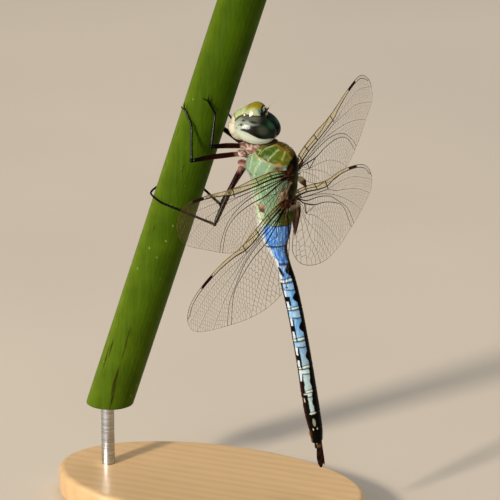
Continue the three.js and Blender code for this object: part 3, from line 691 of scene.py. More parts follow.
def abdomen_colours(n, t, angle, points, c):
    """The abdomen's markings, with painted shade on the back of segment 1, by the segment n, the
    share t along it and the angle.
    """
    a = angle + rough_edge(points, 0.9, 2.6) + rough_edge(points, 0.35, 1.4)
    along = n + t
    middle = (n >= 4) * (n <= 8)
    ridge_at = np.select([n == k for k in CARINAE], list(CARINAE.values()), -1)
    streaks = rough_edge(points * np.array([1.6, 1.6, 0.3]), 0.5)
    # Two white patches low on each side of segments 4 to 6, and one on segment 7.
    lower = rise(a, np.select([n == 4, n == 5], [99 - 6 * rise(t, 0.6, 0.05), 95], 93), 1.6)
    split = np.maximum(within(t, ridge_at + 0.02, 0.5, 0.02),
                       within(t, 0.66, 0.92, 0.02) * (n <= 6))
    rgb = coats(
        c.blue,
        (c.sky, rise(along, 3.9, 0.5)),
        (c.ice, rise(along, 6.6, 1.4)),
        ("#a8d2fa", rise(streaks, 0.1, 0.2) * 0.5 * (n <= 5)),
        ("#3566d8", rise(-streaks, 0.15, 0.2) * 0.5 * (n <= 3)),
        (c.lilac, rise(a, np.where(n <= 2, 112, 99), 8) * (n <= 3)),
        # The front band of each segment, ahead of its cross ridge, is paler.
        ("#cfe4ea", fall(t, ridge_at, 0.01) * np.where(n <= 6, 0.28, 0.6) * middle),
        (c.lilac, lower * split * (n >= 4) * (n <= 7)))
    # The dark stripe along the back, with a spike to each side behind the middle of a segment.
    base = np.select([n <= 1, n == 2, n == 3, n == 4, n == 5, n == 6, n == 7, n == 8],
                     [0, 2 + 12 * t, 19 + 4 * t, 31, 29, 28, 36, 42], 60)
    spike_size = np.select([n <= 2, n == 3, n == 4, n == 5, n == 6, n == 7, n == 8],
                           [0, 40, 28, 26, 17, 9, 9], 0)
    spike_at = np.select([n == 3, n == 8], [0.66, 0.45], 0.56)
    tooth = np.clip(1.15 - np.abs(t - spike_at) / 0.15, 0, 1) ** 0.7
    back = fall(a, base + spike_size * tooth + 12 * (n == 3) * rise(t, 0.7, 0.1), 1.6)
    # The dark mark low on each side, its thin tail, and the stripe of segments 5 to 8.
    mark = within(t, 0.485, 0.675, 0.015) * rise(a, np.where(n == 4, 80, 84), 2) * middle
    tail = within(a, 80, 95, 2) * within(t, 0.6, 0.82, 0.02) * (n == 4)
    stripe_low = np.select([n == 5, n == 6, n >= 7], [85, 81, 88], 0)
    stripe = within(a, stripe_low, 94 + 6 * hump(t, 0.58, 0.2) + 2 * (n >= 7), 1.6)
    stripe *= rise(t, ridge_at + 0.03, 0.02) * (n >= 5) * (n <= 8)
    comma = fall(np.hypot((t - 0.69) / 0.13, (a - 103 + (t - 0.69) * 110) / 17), 1, 0.15)
    outline = hump(a, 94, 1.8) * split * (n >= 4) * (n <= 6) * 0.8
    belly = rise(a, np.select([n <= 2, n == 3], [175, 140], 119), 2.5)
    flank = rise(a, 88 - 15 * (n == 8), 3) * rise(along, 7.53, 0.03)
    # Joints and the cross ridge of each segment are thin dark lines.
    slanted = ridge_at + 0.03 * hump(a, 45, 25) - 0.025 * rise(a, 95, 20)
    ridge_line = within(a, 20, 106 - 2 * n, 6) * hump(t, slanted, np.where(n == 3, 0.02, 0.024))
    ends = np.maximum.reduce([
        hump(t, 0.0, 0.03), hump(t, 1.0, 0.022),
        (n == 2) * within(a, 66, 104, 5) * hump(t, 1.0, 0.05),
        (n >= 4) * (n <= 7) * hump(a, 88, 6) * rise(t, 0.92, 0.02)])
    slope = 0.94 - 0.035 * rise(85 - a, 0, 30)
    line_before = hump(t, slope - 0.03, 0.013) * (n >= 3) * (n <= 8) * within(a, 26, 126, 6)
    dark = np.maximum.reduce([
        back, mark, tail, stripe, comma * (n == 3), outline, belly * (n >= 3), flank,
        ridge_line * (n >= 3), ends * (n >= 2), line_before, 1.0 * (n >= 9)])
    dark = np.where(n >= 9, 1.0, dark)
    black = coats(c.dark,
                  ("#2b1210", rise(a, 106, 14) * rise(along, 6.5, 0.8) * 0.85),
                  ("#2a1a78", (n == 4) * hump(a, 88, 7) * hump(t, 0.15, 0.08)))
    indigo = (n == 4) * fall(np.hypot((t - 0.15) / 0.045, (a - 86) / 11), 1, 0.25) * 0.85
    # Paired cream marks close each segment, with a dark gap between them.
    paired = np.maximum(within(a, 34, 82, 3), within(a, 93, 119, 3) * (n <= 6))
    cream = within(t, slope, slope + 0.045, 0.008) * paired * (n >= 3) * (n <= 8)
    first = within(t, 0.01, 0.05, 0.008) * within(a, 40, 122 - 5 * (n - 4), 4) * middle
    oval = fall(np.hypot((t - 0.5) / 0.26, (a - 62) / 11), 1, 0.15)
    rgb = coats(
        rgb,
        (black, np.maximum(dark, indigo)),
        (c.cream, cream),
        (c.sky, first * 0.5 * (n <= 6)),
        (c.lilac, first * 0.85 * (n == 8)),
        ("#9d9d86", oval * (n == 9) * 0.85))
    for seg, place, at, size in ((8, 0.34, 140, 7), (8, 0.3, 104, 4),
                                 (9, 0.99, 46, 5), (9, 0.97, 80, 4)):
        dot = fall(np.hypot((t - place) * 40, a - at), size, 1.5)
        rgb = coats(rgb, (c.cream, (n == seg) * dot * 0.8))
    rgb = coats(rgb,
                ("#4c2412", (n == 10) * within(a, 104, 170, 10) * fall(t, 0.55, 0.08) * 0.7),
                ("#8a7054", (n == 10) * within(a, 112, 175, 10) * rise(t, 0.62, 0.08) * 0.75))
    # Segment 1 and the front of segment 2 are green, behind a sharp black line. The green is darker
    # over the back as painted shade.
    green = coats(c.pale_green,
                  ("#46560f", fall(angle, 60, 8)),
                  ("#e4efd6", rise(angle, 112, 12) * 0.65),
                  (c.brown, hump(along, 1.95, 0.06) * 0.7))
    crease = (hump(along, 2.99, 0.016) * within(angle, 8, 92, 6)
              + hump(along, 2.0, 0.02) * fall(angle, 70, 6) * 0.6)
    purple = within(along, 3.46, 3.54, 0.02) * within(a, 43, 103, 5)
    return coats(
        chosen(along < 2.17, green, rgb),
        (c.dark, hump(along, 2.18, 0.02) * fall(angle, 78, 8)),
        (c.dark, np.clip(crease, 0, 1)),
        ("#2c4fa0", within(along, 2.22, 2.9, 0.05) * fall(angle, 20, 12) * 0.6),
        ("#33205c", purple * 0.8))


class DARNER_OT_body(bpy.types.Operator):
    """Make the thorax, prothorax, hips and abdomen as one skin"""

    bl_idname = "darner.body"
    bl_label = "Body skin"

    def lump(self, bm, centre, radii, tilt, part, rows=24):
        """An ellipsoid with its part's number stored on it."""
        turned = Matrix.Translation(centre) @ Matrix.Rotation(tilt, 4, "Y")

        def place(t, turn):
            ring = math.sin(math.pi * t)
            return turned @ Vector((radii[0] * ring * math.cos(turn),
                                    radii[1] * ring * math.sin(turn),
                                    radii[2] * math.cos(math.pi * t)))

        shell(bm, rows, rows * 2, place, part)

    def execute(self, context):
        colours = context.scene.darner_body
        bm = bmesh.new()

        def trunk(t, turn):
            z = BODY_TOP + (BODY_TAIL - BODY_TOP) * t
            centre, depth, width, lean = body_ring(z)
            shrink = min(1, (BODY_TOP - z) / 0.5, (z - BODY_TAIL) / 0.5)
            shrink = math.sqrt(max(0, 1 - (1 - shrink) ** 2)) * INSET
            out = depth * shrink * math.cos(turn)
            return Vector((centre + out * math.cos(lean), width * shrink * math.sin(turn),
                           z + out * math.sin(lean)))

        shell(bm, 500, 120, trunk, TRUNK)
        self.lump(bm, (-7.6, 0, 11.1), (2.6, 2.7, 1.7), 0.25, COLLAR, 36)
        self.lump(bm, (-4.9, 0, 12.0), (2.2, 2.3, 0.85), -0.15, COLLAR, 30)
        for side in (-1, 1):
            for x, y, z in HIPS.values():
                self.lump(bm, (x, side * y, z), (1.2, 1.1, 0.66), 0.2, HIP)
            # Two small lobes stand out under the tail's end.
            self.lump(bm, (5.05, side * 0.7, -49.8), (0.5, 0.55, 0.8), 0.1, TAIL_LOBE)
            self.lump(bm, (5.65, side * 0.6, -51.2), (0.4, 0.45, 0.6), 0.1, TAIL_LOBE)
        body = to_object("body_skin", bm, painted_cuticle(
            "Body cuticle, waxed", 0.09, 0.012, (0.86, 1.1), 0.34,
            Coat_Weight=0.02, Coat_Roughness=0.2))
        mesh = body.data
        points, angle, part = points_of(mesh), stored(mesh, "around"), stored(mesh, "part")
        z = BODY_TOP + (BODY_TAIL - BODY_TOP) * stored(mesh, "along")
        emboss(mesh, np.where(part == TRUNK, body_relief(z, angle), 0.0))
        soft = rough_edge(points, 0.6)
        rose = coats(colours.rose,
                     ("#e0cfc4", rise(soft, 0.05, 0.25) * 0.6),
                     ("#5f3f38", rise(-soft, 0.15, 0.2) * 0.5))
        # The collar is olive towards the back, and its top is darkened as a painted shadow under
        # the head.
        collar = coats(rose,
                       (colours.olive, rise(points[:, 0], -6.2, 0.6) * 0.85),
                       ("#1e120a", rise(points[:, 2], 11.95, 0.2) * 0.85))
        shaded = hump(points[:, 2], 8.2, 0.7) * rise(-points[:, 0], 6.2, 0.4) * 0.6
        rgb = chosen(z > JOINTS[0], thorax_colours(z, angle, points, colours),
                     abdomen_colours(*segment_shares(z), angle, points, colours))
        rgb = chosen(part == COLLAR, collar, rgb)
        rgb = chosen(part == TAIL_LOBE, coats(rose, ("#4a2414", 0.5)), rgb)
        paint(mesh, chosen(part == HIP, coats(rose, ("#7a4238", shaded)), rgb))
        hips = [f"{leg}_coxa" for leg in LEGS]
        settle(body,
               ["thorax", "prothorax", *hips, *(f"abdomen_{n}" for n in range(1, 11))])
        return {"FINISHED"}


# ------------------------------------------------------------------ head


FRONS = (((-8.2, 0, 17.0), (3.0, 3.0, 3.8), 0.5), ((-9.9, 0, 16.0), (2.75, 3.1, 2.9), 0.0))
MOUTH = ((-10.7, 0, 14.6), (2.7, 3.1, 2.8), 0.35)
REAR = ((-7.3, 0, 13.4), (3.1, 3.5, 2.0), 0.2)
KNOB = ((-5.75, 0, 17.95), (0.75, 0.75, 0.7), 0.3)
FACE_CENTRE = (-8.6, 16.2)  # X and Z of the point that the face's angles are taken from
HEAD_VOXEL = 0.085  # of the grid, in mm, that joins the head's lumps into one skin
# Angles of the furrows between frons and clypeus, clypeus and labrum, and under the labrum.
BROW_FURROW, LIP_FURROW, CHIN_FURROW = 25, -2, -36


def eye_directions(points, side):
    """Points about an eye's centre, in shares of its radii along its own axes."""
    x, y, z = EYE["centre"]
    turned = (Matrix.Rotation(-side * EYE["splay"], 3, "Z")
              @ Matrix.Rotation(EYE["tilt"], 3, "Y"))
    return (points - np.array((x, side * y, z))) @ np.array(turned) / np.array(EYE["radii"])


def face_angle(points):
    """Degrees up the face in side view: 0 points straight ahead, and 90 to the crown."""
    x, z = FACE_CENTRE
    return np.degrees(np.arctan2(points[:, 2] - z, x - points[:, 0]))


def head_colours(points, c):
    """Markings of the face, the crown and the rear of the head, with a painted shadow low on the
    rear.
    """
    x, y, z = points.T
    y = np.abs(y)
    turn = face_angle(points)
    # The brow spot: black, ringed with cream, then black and a blue crescent in front.
    spot = np.sqrt(((x + 5.7) * 0.9) ** 2 + (y * 0.75) ** 2 + (z - 19.0) ** 2)
    brow = rise(turn, 96, 6)
    crescent = within(spot, 1.0, 1.45, 0.08) * rise(y, 0.5, 0.3) * within(z, 18.7, 19.4, 0.12)
    # The crown behind the frons is dark, with a pale knob between the eyes.
    crown = rise(x, -5.75, 0.18) * fall(z, 19.2, 0.3) * rise(z, 16.4, 0.3)
    rgb = coats(
        c.face,
        ("#bacd90", within(turn, 30, 74, 12) * 0.75),
        ("#c6cba4", rise(y, 2.1, 0.35) * 0.5),
        (c.brow, rise(turn + 6 * rough_edge(points, 0.8), 84, 7) * fall(y, 1.75, 0.35)),
        (c.lip, fall(turn, 27, 5)),
        # The furrows of the face, and the dark dash over the lip.
        ("#5a3a1c", hump(turn, BROW_FURROW, 1.3) * 0.55),
        ("#5a3a1c", hump(turn, LIP_FURROW, 1.3) * 0.4),
        ("#2a0f08", hump(turn, BROW_FURROW, 2.0) * fall(y, 2.7, 0.25)),
        ("#c3c7a8", fall(turn, -34, 6) * 0.85),
        ("#6b4430", hump(turn, -40, 3) * 0.3),
        (c.spot_blue, brow * crescent),
        ("#04201f", brow * within(spot, 0.72, 1.05 + 0.35 * (z < 18.75), 0.08)),
        ("#cfc98a", brow * within(spot, 0.55, 0.75, 0.05)),
        ("#050403", brow * fall(spot, 0.55, 0.08)),
        ("#0d0a06", crown),
        ("#b9a77c", hump(z, 18.25, 0.22) * fall(y, 0.5, 0.15) * crown))
    # A brown line edges the face along the eyes.
    for side in (-1, 1):
        depth = np.linalg.norm(eye_directions(points, side), axis=1)
        rgb = coats(rgb, ("#2a130a", fall(depth, 1.09, 0.03) * rise(turn, 12, 10) * 0.9))
    # The rear of the head is cream, and its lowest part by the neck is darkened as a painted shadow
    # under the head.
    rear = fall(z, 14.2, 0.4) * rise(x, -9.4, 0.5)
    return coats(rgb, ("#d8dab4", rear), ("#1e120a", rear * fall(z, 12.9, 0.3) * 0.9))


class DARNER_OT_head(bpy.types.Operator):
    """Make the face, mouthparts and rear of the head as one skin, and the feelers"""

    bl_idname = "darner.head"
    bl_label = "Head"

    def execute(self, context):
        bm = bmesh.new()
        for centre, radii, tilt in (*FRONS, MOUTH, REAR):
            blob(bm, centre, radii, tilt, segments=48)
        # The crown's knob carries the three ocelli, and the jaws stand out beside the lip.
        blob(bm, *KNOB)
        for side in (-1, 1):
            blob(bm, (-10.0, side * 1.6, 13.7), (1.1, 0.8, 1.1), 0.3)
        head = to_object("head_skin", bm, painted_cuticle(
            "Face cuticle, polished", 0.07, 0.006, (0.94, 1.06), 0.2,
            Coat_Weight=0.4, Coat_Roughness=0.1))
        remesh = head.modifiers.new("join", "REMESH")
        remesh.mode = "VOXEL"
        remesh.voxel_size = HEAD_VOXEL
        smooth = head.modifiers.new("soften", "SMOOTH")
        smooth.factor = 0.6
        smooth.iterations = 10
        mesh = evaluated_mesh(head)
        head.modifiers.clear()
        head.data = mesh
        mesh.shade_smooth()
        points = points_of(mesh)
        y, turn = points[:, 1], face_angle(points)
        split = hump(y, 0, 0.12) * within(turn, -60, CHIN_FURROW, 4)
        groove = (0.07 * hump(turn, BROW_FURROW, 1.6) + 0.06 * hump(turn, LIP_FURROW, 1.4)
                  + 0.08 * hump(turn, CHIN_FURROW, 2) + 0.05 * split)
        ridge = 0.08 * within(turn, 7, 20, 6) * fall(np.abs(y), 1.6, 0.5)
        lean = 0.34 * hump(turn, 84, 20) + 0.08 * hump(turn, 50, 14) + 0.25 * fall(turn, -24, 10)
        emboss(mesh, ridge - groove - lean)
        paint(mesh, head_colours(points_of(mesh), context.scene.darner_head))
        settle(head, ["face_frons", "mouth", "head_rear"])

        bm = bmesh.new()
        for side in (-1, 1):
            def out(x, y, z):
                return Vector((x - 5.5, side * (y + 1.1), z + 18.6))

            tube(bm, (out(0, 0, 0), out(0.15, 0.12, 0.35), out(0.3, 0.25, 0.62)),
                 lambda t: 0.17 - 0.05 * t, 10, 8)
            tube(bm, (out(0.28, 0.22, 0.55), out(0.75, 0.6, 1.35), out(1.1, 1.0, 1.95)),
                 lambda t: 0.035 - 0.02 * t, 8, 16)
        feelers = to_object("feelers", bm, painted_cuticle(
            "Feeler chitin", 0.05, 0.004, (0.8, 1.1), 0.4))
        height = points_of(feelers.data)[:, 2]
        paint(feelers.data, coats("#2a1a14", ("#b39c88", rise(height, 19.2, 0.2))))
        settle(feelers, ["antenna_left", "antenna_right"])
        return {"FINISHED"}


# A compound eye's facets, in mm, and the dark flecks on its pale front as directions and sizes.
FACET = 0.09
EYE_FLECKS = (((-0.63, -0.7, 0.32), 0.15), ((-0.6, -0.52, 0.6), 0.12), ((-0.12, -0.72, 0.69), 0.15),
              ((-0.83, -0.56, -0.02), 0.065), ((-0.78, -0.58, 0.2), 0.06))


def eye_colours(unit, c):
    """The eye's zones from its directions: x to the rear, y outwards and z to the crown."""
    nx, _, nz = unit.T
    wander = rough_edge(unit, 0.35, 0.035)
    front_edge = np.interp(nz, [-0.02, 0.16, 0.3, 0.45, 0.55, 0.64, 0.8],
                           [-0.66, -0.5, -0.38, -0.24, -0.04, 0.08, 0.1])
    low_edge = np.interp(nx, [-0.66, -0.24, 0.01, 0.29, 0.55, 0.8, 1.0],
                         [-0.03, -0.04, -0.19, -0.28, -0.28, -0.24, -0.22])
    softness = 0.05 + 0.2 * rise(nz, 0.42, 0.12)
    cap = rise(nx + wander, front_edge, softness) * rise(nz + wander, low_edge, 0.035)
    pale = coats(c.eye_pale,
                 ("#d0d9cc", fall(nz, -0.15, 0.3)),
                 ("#5f6a5c", hump(nz, 0.52, 0.2) * 0.5),
                 ("#3a3226", rise(nz, 0.66, 0.08) * 0.8))
    for at, size in EYE_FLECKS:
        reach = np.linalg.norm((unit - np.array(at)) * np.array((0.62, 1, 1.35)), axis=1)
        pale = coats(pale, ("#14100a", fall(reach, size * 0.8, size * 0.45) * 0.92))

    def patch(direction, size):
        return hump(np.sum(unit * np.array(direction), axis=1), 1.0, size)

    # The dark cap turns green towards the rear, and its grey-green patch is a painted sheen.
    dark = coats(c.eye_dark,
                 (c.eye_green, rise(nx + 0.3 * nz, 0.5, 0.3)),
                 ("#474c3e", patch((0.4, -0.85, 0.34), 0.05) * 0.7),
                 ("#240a06", patch((0.1, -0.97, 0.2), 0.012) * 0.6),
                 ("#33684a", patch((0.72, -0.3, 0.62), 0.04) * 0.6),
                 ("#060806", rise(nx, 0.86, 0.07) * 0.8))
    return coats(pale, (dark, cap))


class DARNER_OT_eyes(bpy.types.Operator):
    """Make the two compound eyes, which meet along the crown"""

    bl_idname = "darner.eyes"
    bl_label = "Compound eyes"

    def execute(self, context):
        # Cornea: a clear, polished layer over the pigment gives a sharp highlight over a deep
        # colour. Real facets are 0.03 mm apart and are drawn at 0.09 mm so that they show.
        finish = Finish("Compound eye, clear cornea", Roughness=0.4, Specular_IOR_Level=0.04,
                        Coat_Weight=0.2, Coat_Roughness=0.03, Coat_IOR=1.55)
        facets = finish.add("ShaderNodeTexVoronoi", {
            "Vector": finish.place, "Scale": 1 / (FACET * MM), "Randomness": 0.25})
        deep = finish.add("ShaderNodeMapRange", {
            "Value": facets, "From Max": 0.7, "To Min": 1.08, "To Max": 0.84})
        cornea = finish.surface(finish.painted(deep), relief=(facets, 0.35, 0.006), invert=True)
        for side, name in ((-1, "eye_left"), (1, "eye_right")):
            x, y, z = EYE["centre"]
            bm = bmesh.new()
            blob(bm, (x, side * y, z), EYE["radii"], EYE["tilt"], -side * EYE["splay"], 128)
            cut = bmesh.ops.bisect_plane(
                bm, geom=bm.verts[:] + bm.edges[:] + bm.faces[:], plane_co=(0, side * 0.03, 0),
                plane_no=(0, -side, 0), clear_outer=True)
            rim = [e for e in cut["geom_cut"] if isinstance(e, bmesh.types.BMEdge)]
            bmesh.ops.holes_fill(bm, edges=rim)
            eye = to_object(f"compound_{name}", bm, cornea)
            unit = eye_directions(points_of(eye.data), side)
            unit[:, 1] *= -side
            unit /= np.linalg.norm(unit, axis=1, keepdims=True)
            paint(eye.data, eye_colours(unit, context.scene.darner_head))
            settle(eye, [name])
        return {"FINISHED"}


# ------------------------------------------------------------------ wings


class WingPlane:
    """A wing's outline, relief and place; the left wing mirrors the right one."""

    def __init__(self, kind, side):
        self.data, self.side = WINGS[kind], side
        sweep, droop, twist = (self.data[key] for key in ("sweep", "droop", "twist"))
        self.root = Vector(self.data["root"])
        self.span = Vector((math.sin(droop), math.cos(droop) * math.cos(sweep),
                            math.cos(droop) * math.sin(sweep)))
        self.chord = square_to(Vector((-math.sin(twist), 0, math.cos(twist))), self.span)
        self.face = self.span.cross(self.chord)
        corner = self.data["front"][-1]
        outline = spline((*self.data["front"], *self.data["rear"]), 240)
        split = int(np.argmin(np.linalg.norm(outline - np.array(corner), axis=1)))
        tip = split + int(np.argmax(outline[split:, 0]))
        self.front, self.rear = outline[:tip + 1], outline[tip:][::-1]

    def behind(self, u, v):
        """How far points lie behind the leading edge."""
        return np.interp(u, self.front[:, 0], self.front[:, 1]) - v

    def relief(self, u, v):
        """Height of the pleat behind the leading edge, a slight camber and the sunk inner lobe."""
        behind = self.behind(u, v)
        pleat = 0.3 * np.exp(-(behind - 1.4) ** 2) - 0.28 * np.exp(-behind / 0.6)
        wave = 0.05 * np.sin(u * 0.35 + v * 0.6) * np.clip(behind / 5, 0, 1)
        lobe = 1.9 * np.exp(-(u / 6) ** 2) * np.clip((-v - 3) / 8, 0, 1)
        return pleat * np.interp(u, [16, 34, 44], [1, 0.4, 0]) + wave - lobe

    def place(self, piece, lift=0.0):
        """Takes a piece from the wing's own plane to the insect's frame."""
        flat = points_of(piece.data)
        u, v, height = flat[:, :1], flat[:, 1:2], flat[:, 2] + lift
        height = (height + self.relief(flat[:, 0], flat[:, 1]))[:, None]
        placed = (np.array(self.root) + u * np.array(self.span) + v * np.array(self.chord)
                  + height * np.array(self.face))
        placed[:, 1] *= self.side
        if self.side < 0:
            piece.data.flip_normals()
        set_points(piece.data, placed)
        return piece


def nearest_on(line, point):
    """The place on a bent line nearest to a point."""
    a, b = line[:-1], line[1:]
    step = b - a
    share = np.clip(np.sum((point - a) * step, 1) / np.maximum(np.sum(step * step, 1), 1e-12), 0, 1)
    places = a + share[:, None] * step
    return places[np.argmin(np.sum((places - point) ** 2, 1))]


def contains(outline, points):
    """Which points lie inside a closed outline."""
    x, y = outline[:, 0], outline[:, 1]
    x2, y2 = np.roll(x, -1), np.roll(y, -1)
    px, py = points[:, :1], points[:, 1:]
    crosses = (y > py) != (y2 > py)
    at = x + (py - y) * (x2 - x) / np.where(y2 == y, 1e-9, y2 - y)
    return np.count_nonzero(crosses & (px < at), axis=1) % 2 == 1


def circle_centres(corners):
    """The centre of the circle through the three corners of each triangle."""
    after, before = np.roll(corners, -1, 1), np.roll(corners, 1, 1)
    dy, dx = after[..., 1] - before[..., 1], before[..., 0] - after[..., 0]
    double = 2 * np.sum(corners[..., 0] * dy, 1)
    double = np.where(np.abs(double) < 1e-9, 1e-9, double)
    squared = np.sum(corners ** 2, 2)
    return np.stack([np.sum(squared * dy, 1), np.sum(squared * dx, 1)], 1) / double[:, None]


def cell_centres(upper, lower, edge, row, column):
    """Cell centres in staggered rows that follow the upper vein down to the lower one.

    The cells grow smaller from the root to the tip.
    """
    field = np.vstack([upper, edge, lower[::-1]])
    steps = 500
    line = spline(upper, steps)
    ahead = np.gradient(line, axis=0)
    ahead /= np.linalg.norm(ahead, axis=1, keepdims=True)
    down = np.column_stack([ahead[:, 1], -ahead[:, 0]])
    reach, marks = reach_of(line), np.arange(steps + 1)
    centres = []
    place = 0.3
    while place < reach[-1]:
        i = int(np.interp(place, reach, marks))
        size = np.interp(line[i, 0], [0, 45], [1.35, 0.85])
        gap = np.linalg.norm(nearest_on(lower, line[i]) - line[i])
        if gap < 1.5 * row * size:
            if gap > 0.28:
                centres.append(line[i] + down[i] * gap / 2)
            place += row * size * 1.05
            continue
        deep = np.arange(0.5, 40) * row * size
        odd = np.arange(len(deep)) % 2
        j = np.interp(place + 0.5 * column * size * odd, reach, marks).astype(int)
        stack = line[j] + down[j] * deep[:, None]
        outside = ~contains(field, stack)
        centres.extend(stack[:int(np.argmax(outside)) if outside.any() else len(stack)])
        place += column * size
    kept = []
    for centre in centres:
        clear = np.linalg.norm(nearest_on(lower, centre) - centre) > 0.16
        if clear and (not kept or np.min(np.linalg.norm(kept - centre, axis=1)) > 0.62 * row):
            kept.append(centre)
    return kept


def wing_net(kind):
    """A wing's small veins and its long lines from front to rear.

    The small veins are the edges of cells that stand in rows between the long veins: the Voronoi
    cells of their centres. Edges that would run along a long vein are left out.
    """
    plane = WingPlane(kind, 1)
    data = plane.data
    margin = np.vstack([plane.front, plane.rear[::-1]])
    nodus = int(np.argmin(np.abs(plane.front[:, 0] - data["nodus"])))
    subcosta = np.vstack([spline(data["veins"][0], 60), plane.front[nodus:]])
    lines = [plane.front, spline(subcosta, 200)]
    for vein in data["veins"][1:]:
        line = spline(vein, 200)
        line[-1] = nearest_on(margin, line[-1])
        lines.append(line)
    lines.append(plane.rear[:8])
    seeds, strips = [], []
    for strip, (upper, lower) in enumerate(zip(lines, lines[1:])):
        ends = [int(np.argmin(np.sum((margin - line[-1]) ** 2, 1))) for line in (upper, lower)]
        edge = margin[ends[0]:ends[1]] if ends[1] > ends[0] else np.zeros((0, 2))
        # Behind the double vein the cells are larger, and behind the cubital vein wider than deep.
        cell = np.array(data["cell"][::1 if strip < 8 else -1]) * (1.25 if strip > 6 else 1)
        found = cell_centres(upper, lower, edge, *cell)
        seeds.extend(found)
        strips.extend([strip] * len(found))
    seeds, strips = np.array(seeds), np.array(strips)
    inside = contains(margin, seeds)
    seeds, strips = seeds[inside], strips[inside]
    rim = np.array([nearest_on(margin, p) for p in seeds])
    gap = np.linalg.norm(seeds - rim, axis=1)
    seeds, strips, rim, gap = (values[gap > 0.2] for values in (seeds, strips, rim, gap))
    # A mirrored twin outside the rim, in strip -1, ends each cell of the border at the rim.
    twins = 2 * rim[gap < 1.1] - seeds[gap < 1.1]
    found = delaunay_2d_cdt([Vector(p) for p in (*seeds, *twins)], [], [], 0, 1e-6)
    spots = np.array([list(p) for p in found[0]])
    owner = np.array([group[0] if group else 0 for group in found[3]])
    strips = np.concatenate([strips, np.full(len(twins), -1)])[owner]
    faces = np.array([list(face) for face in found[2] if len(face) == 3])
    centre = circle_centres(spots[faces])
    shared = {}
    for i, face in enumerate(faces):
        for p, q in ((0, 1), (1, 2), (2, 0)):
            shared.setdefault(tuple(sorted((face[p], face[q]))), []).append(i)
        # A cell corner that touches two strips lies on the long vein between them.
        around = set(strips[face])
        if -1 in around and len(around) > 1:
            centre[i] = nearest_on(margin, centre[i])
        elif len(around) > 1:
            between = lines[min(around) + 1:max(around) + 1]
            options = [nearest_on(line, centre[i]) for line in between]
            centre[i] = min(options, key=lambda p: np.sum((p - centre[i]) ** 2))
    edges = []
    for (p, q), sides in shared.items():
        if len(sides) == 2 and strips[p] == strips[q] and strips[p] >= 0:
            start, end = centre[sides[0]], centre[sides[1]]
            if 0.05 < np.linalg.norm(end - start) < 3.2:
                edges.append((start, end))
    return edges, lines


def wires(name, lines, material):
    """Round wires along lines of (points, radii), made with a bevelled curve and turned to mesh."""
    curve = bpy.data.curves.new(name, "CURVE")
    curve.dimensions = "3D"
    curve.bevel_depth = 1.0
    curve.bevel_resolution = 0
    curve.use_fill_caps = True
    for points, radii in lines:
        wire = curve.splines.new("POLY")
        wire.points.add(len(points) - 1)
        # A curve's point has a fourth value, its weight.
        wire.points.foreach_set("co", np.column_stack([points, np.ones(len(points))]).ravel())
        thickness = np.broadcast_to(radii, len(points)).astype(float)
        wire.points.foreach_set("radius", thickness.tolist())
    source = bpy.data.objects.new(name, curve)
    bpy.context.scene.collection.objects.link(source)
    mesh = evaluated_mesh(source)
    bpy.data.objects.remove(source)
    mesh.name = name
    return mesh_object(name, mesh, material)


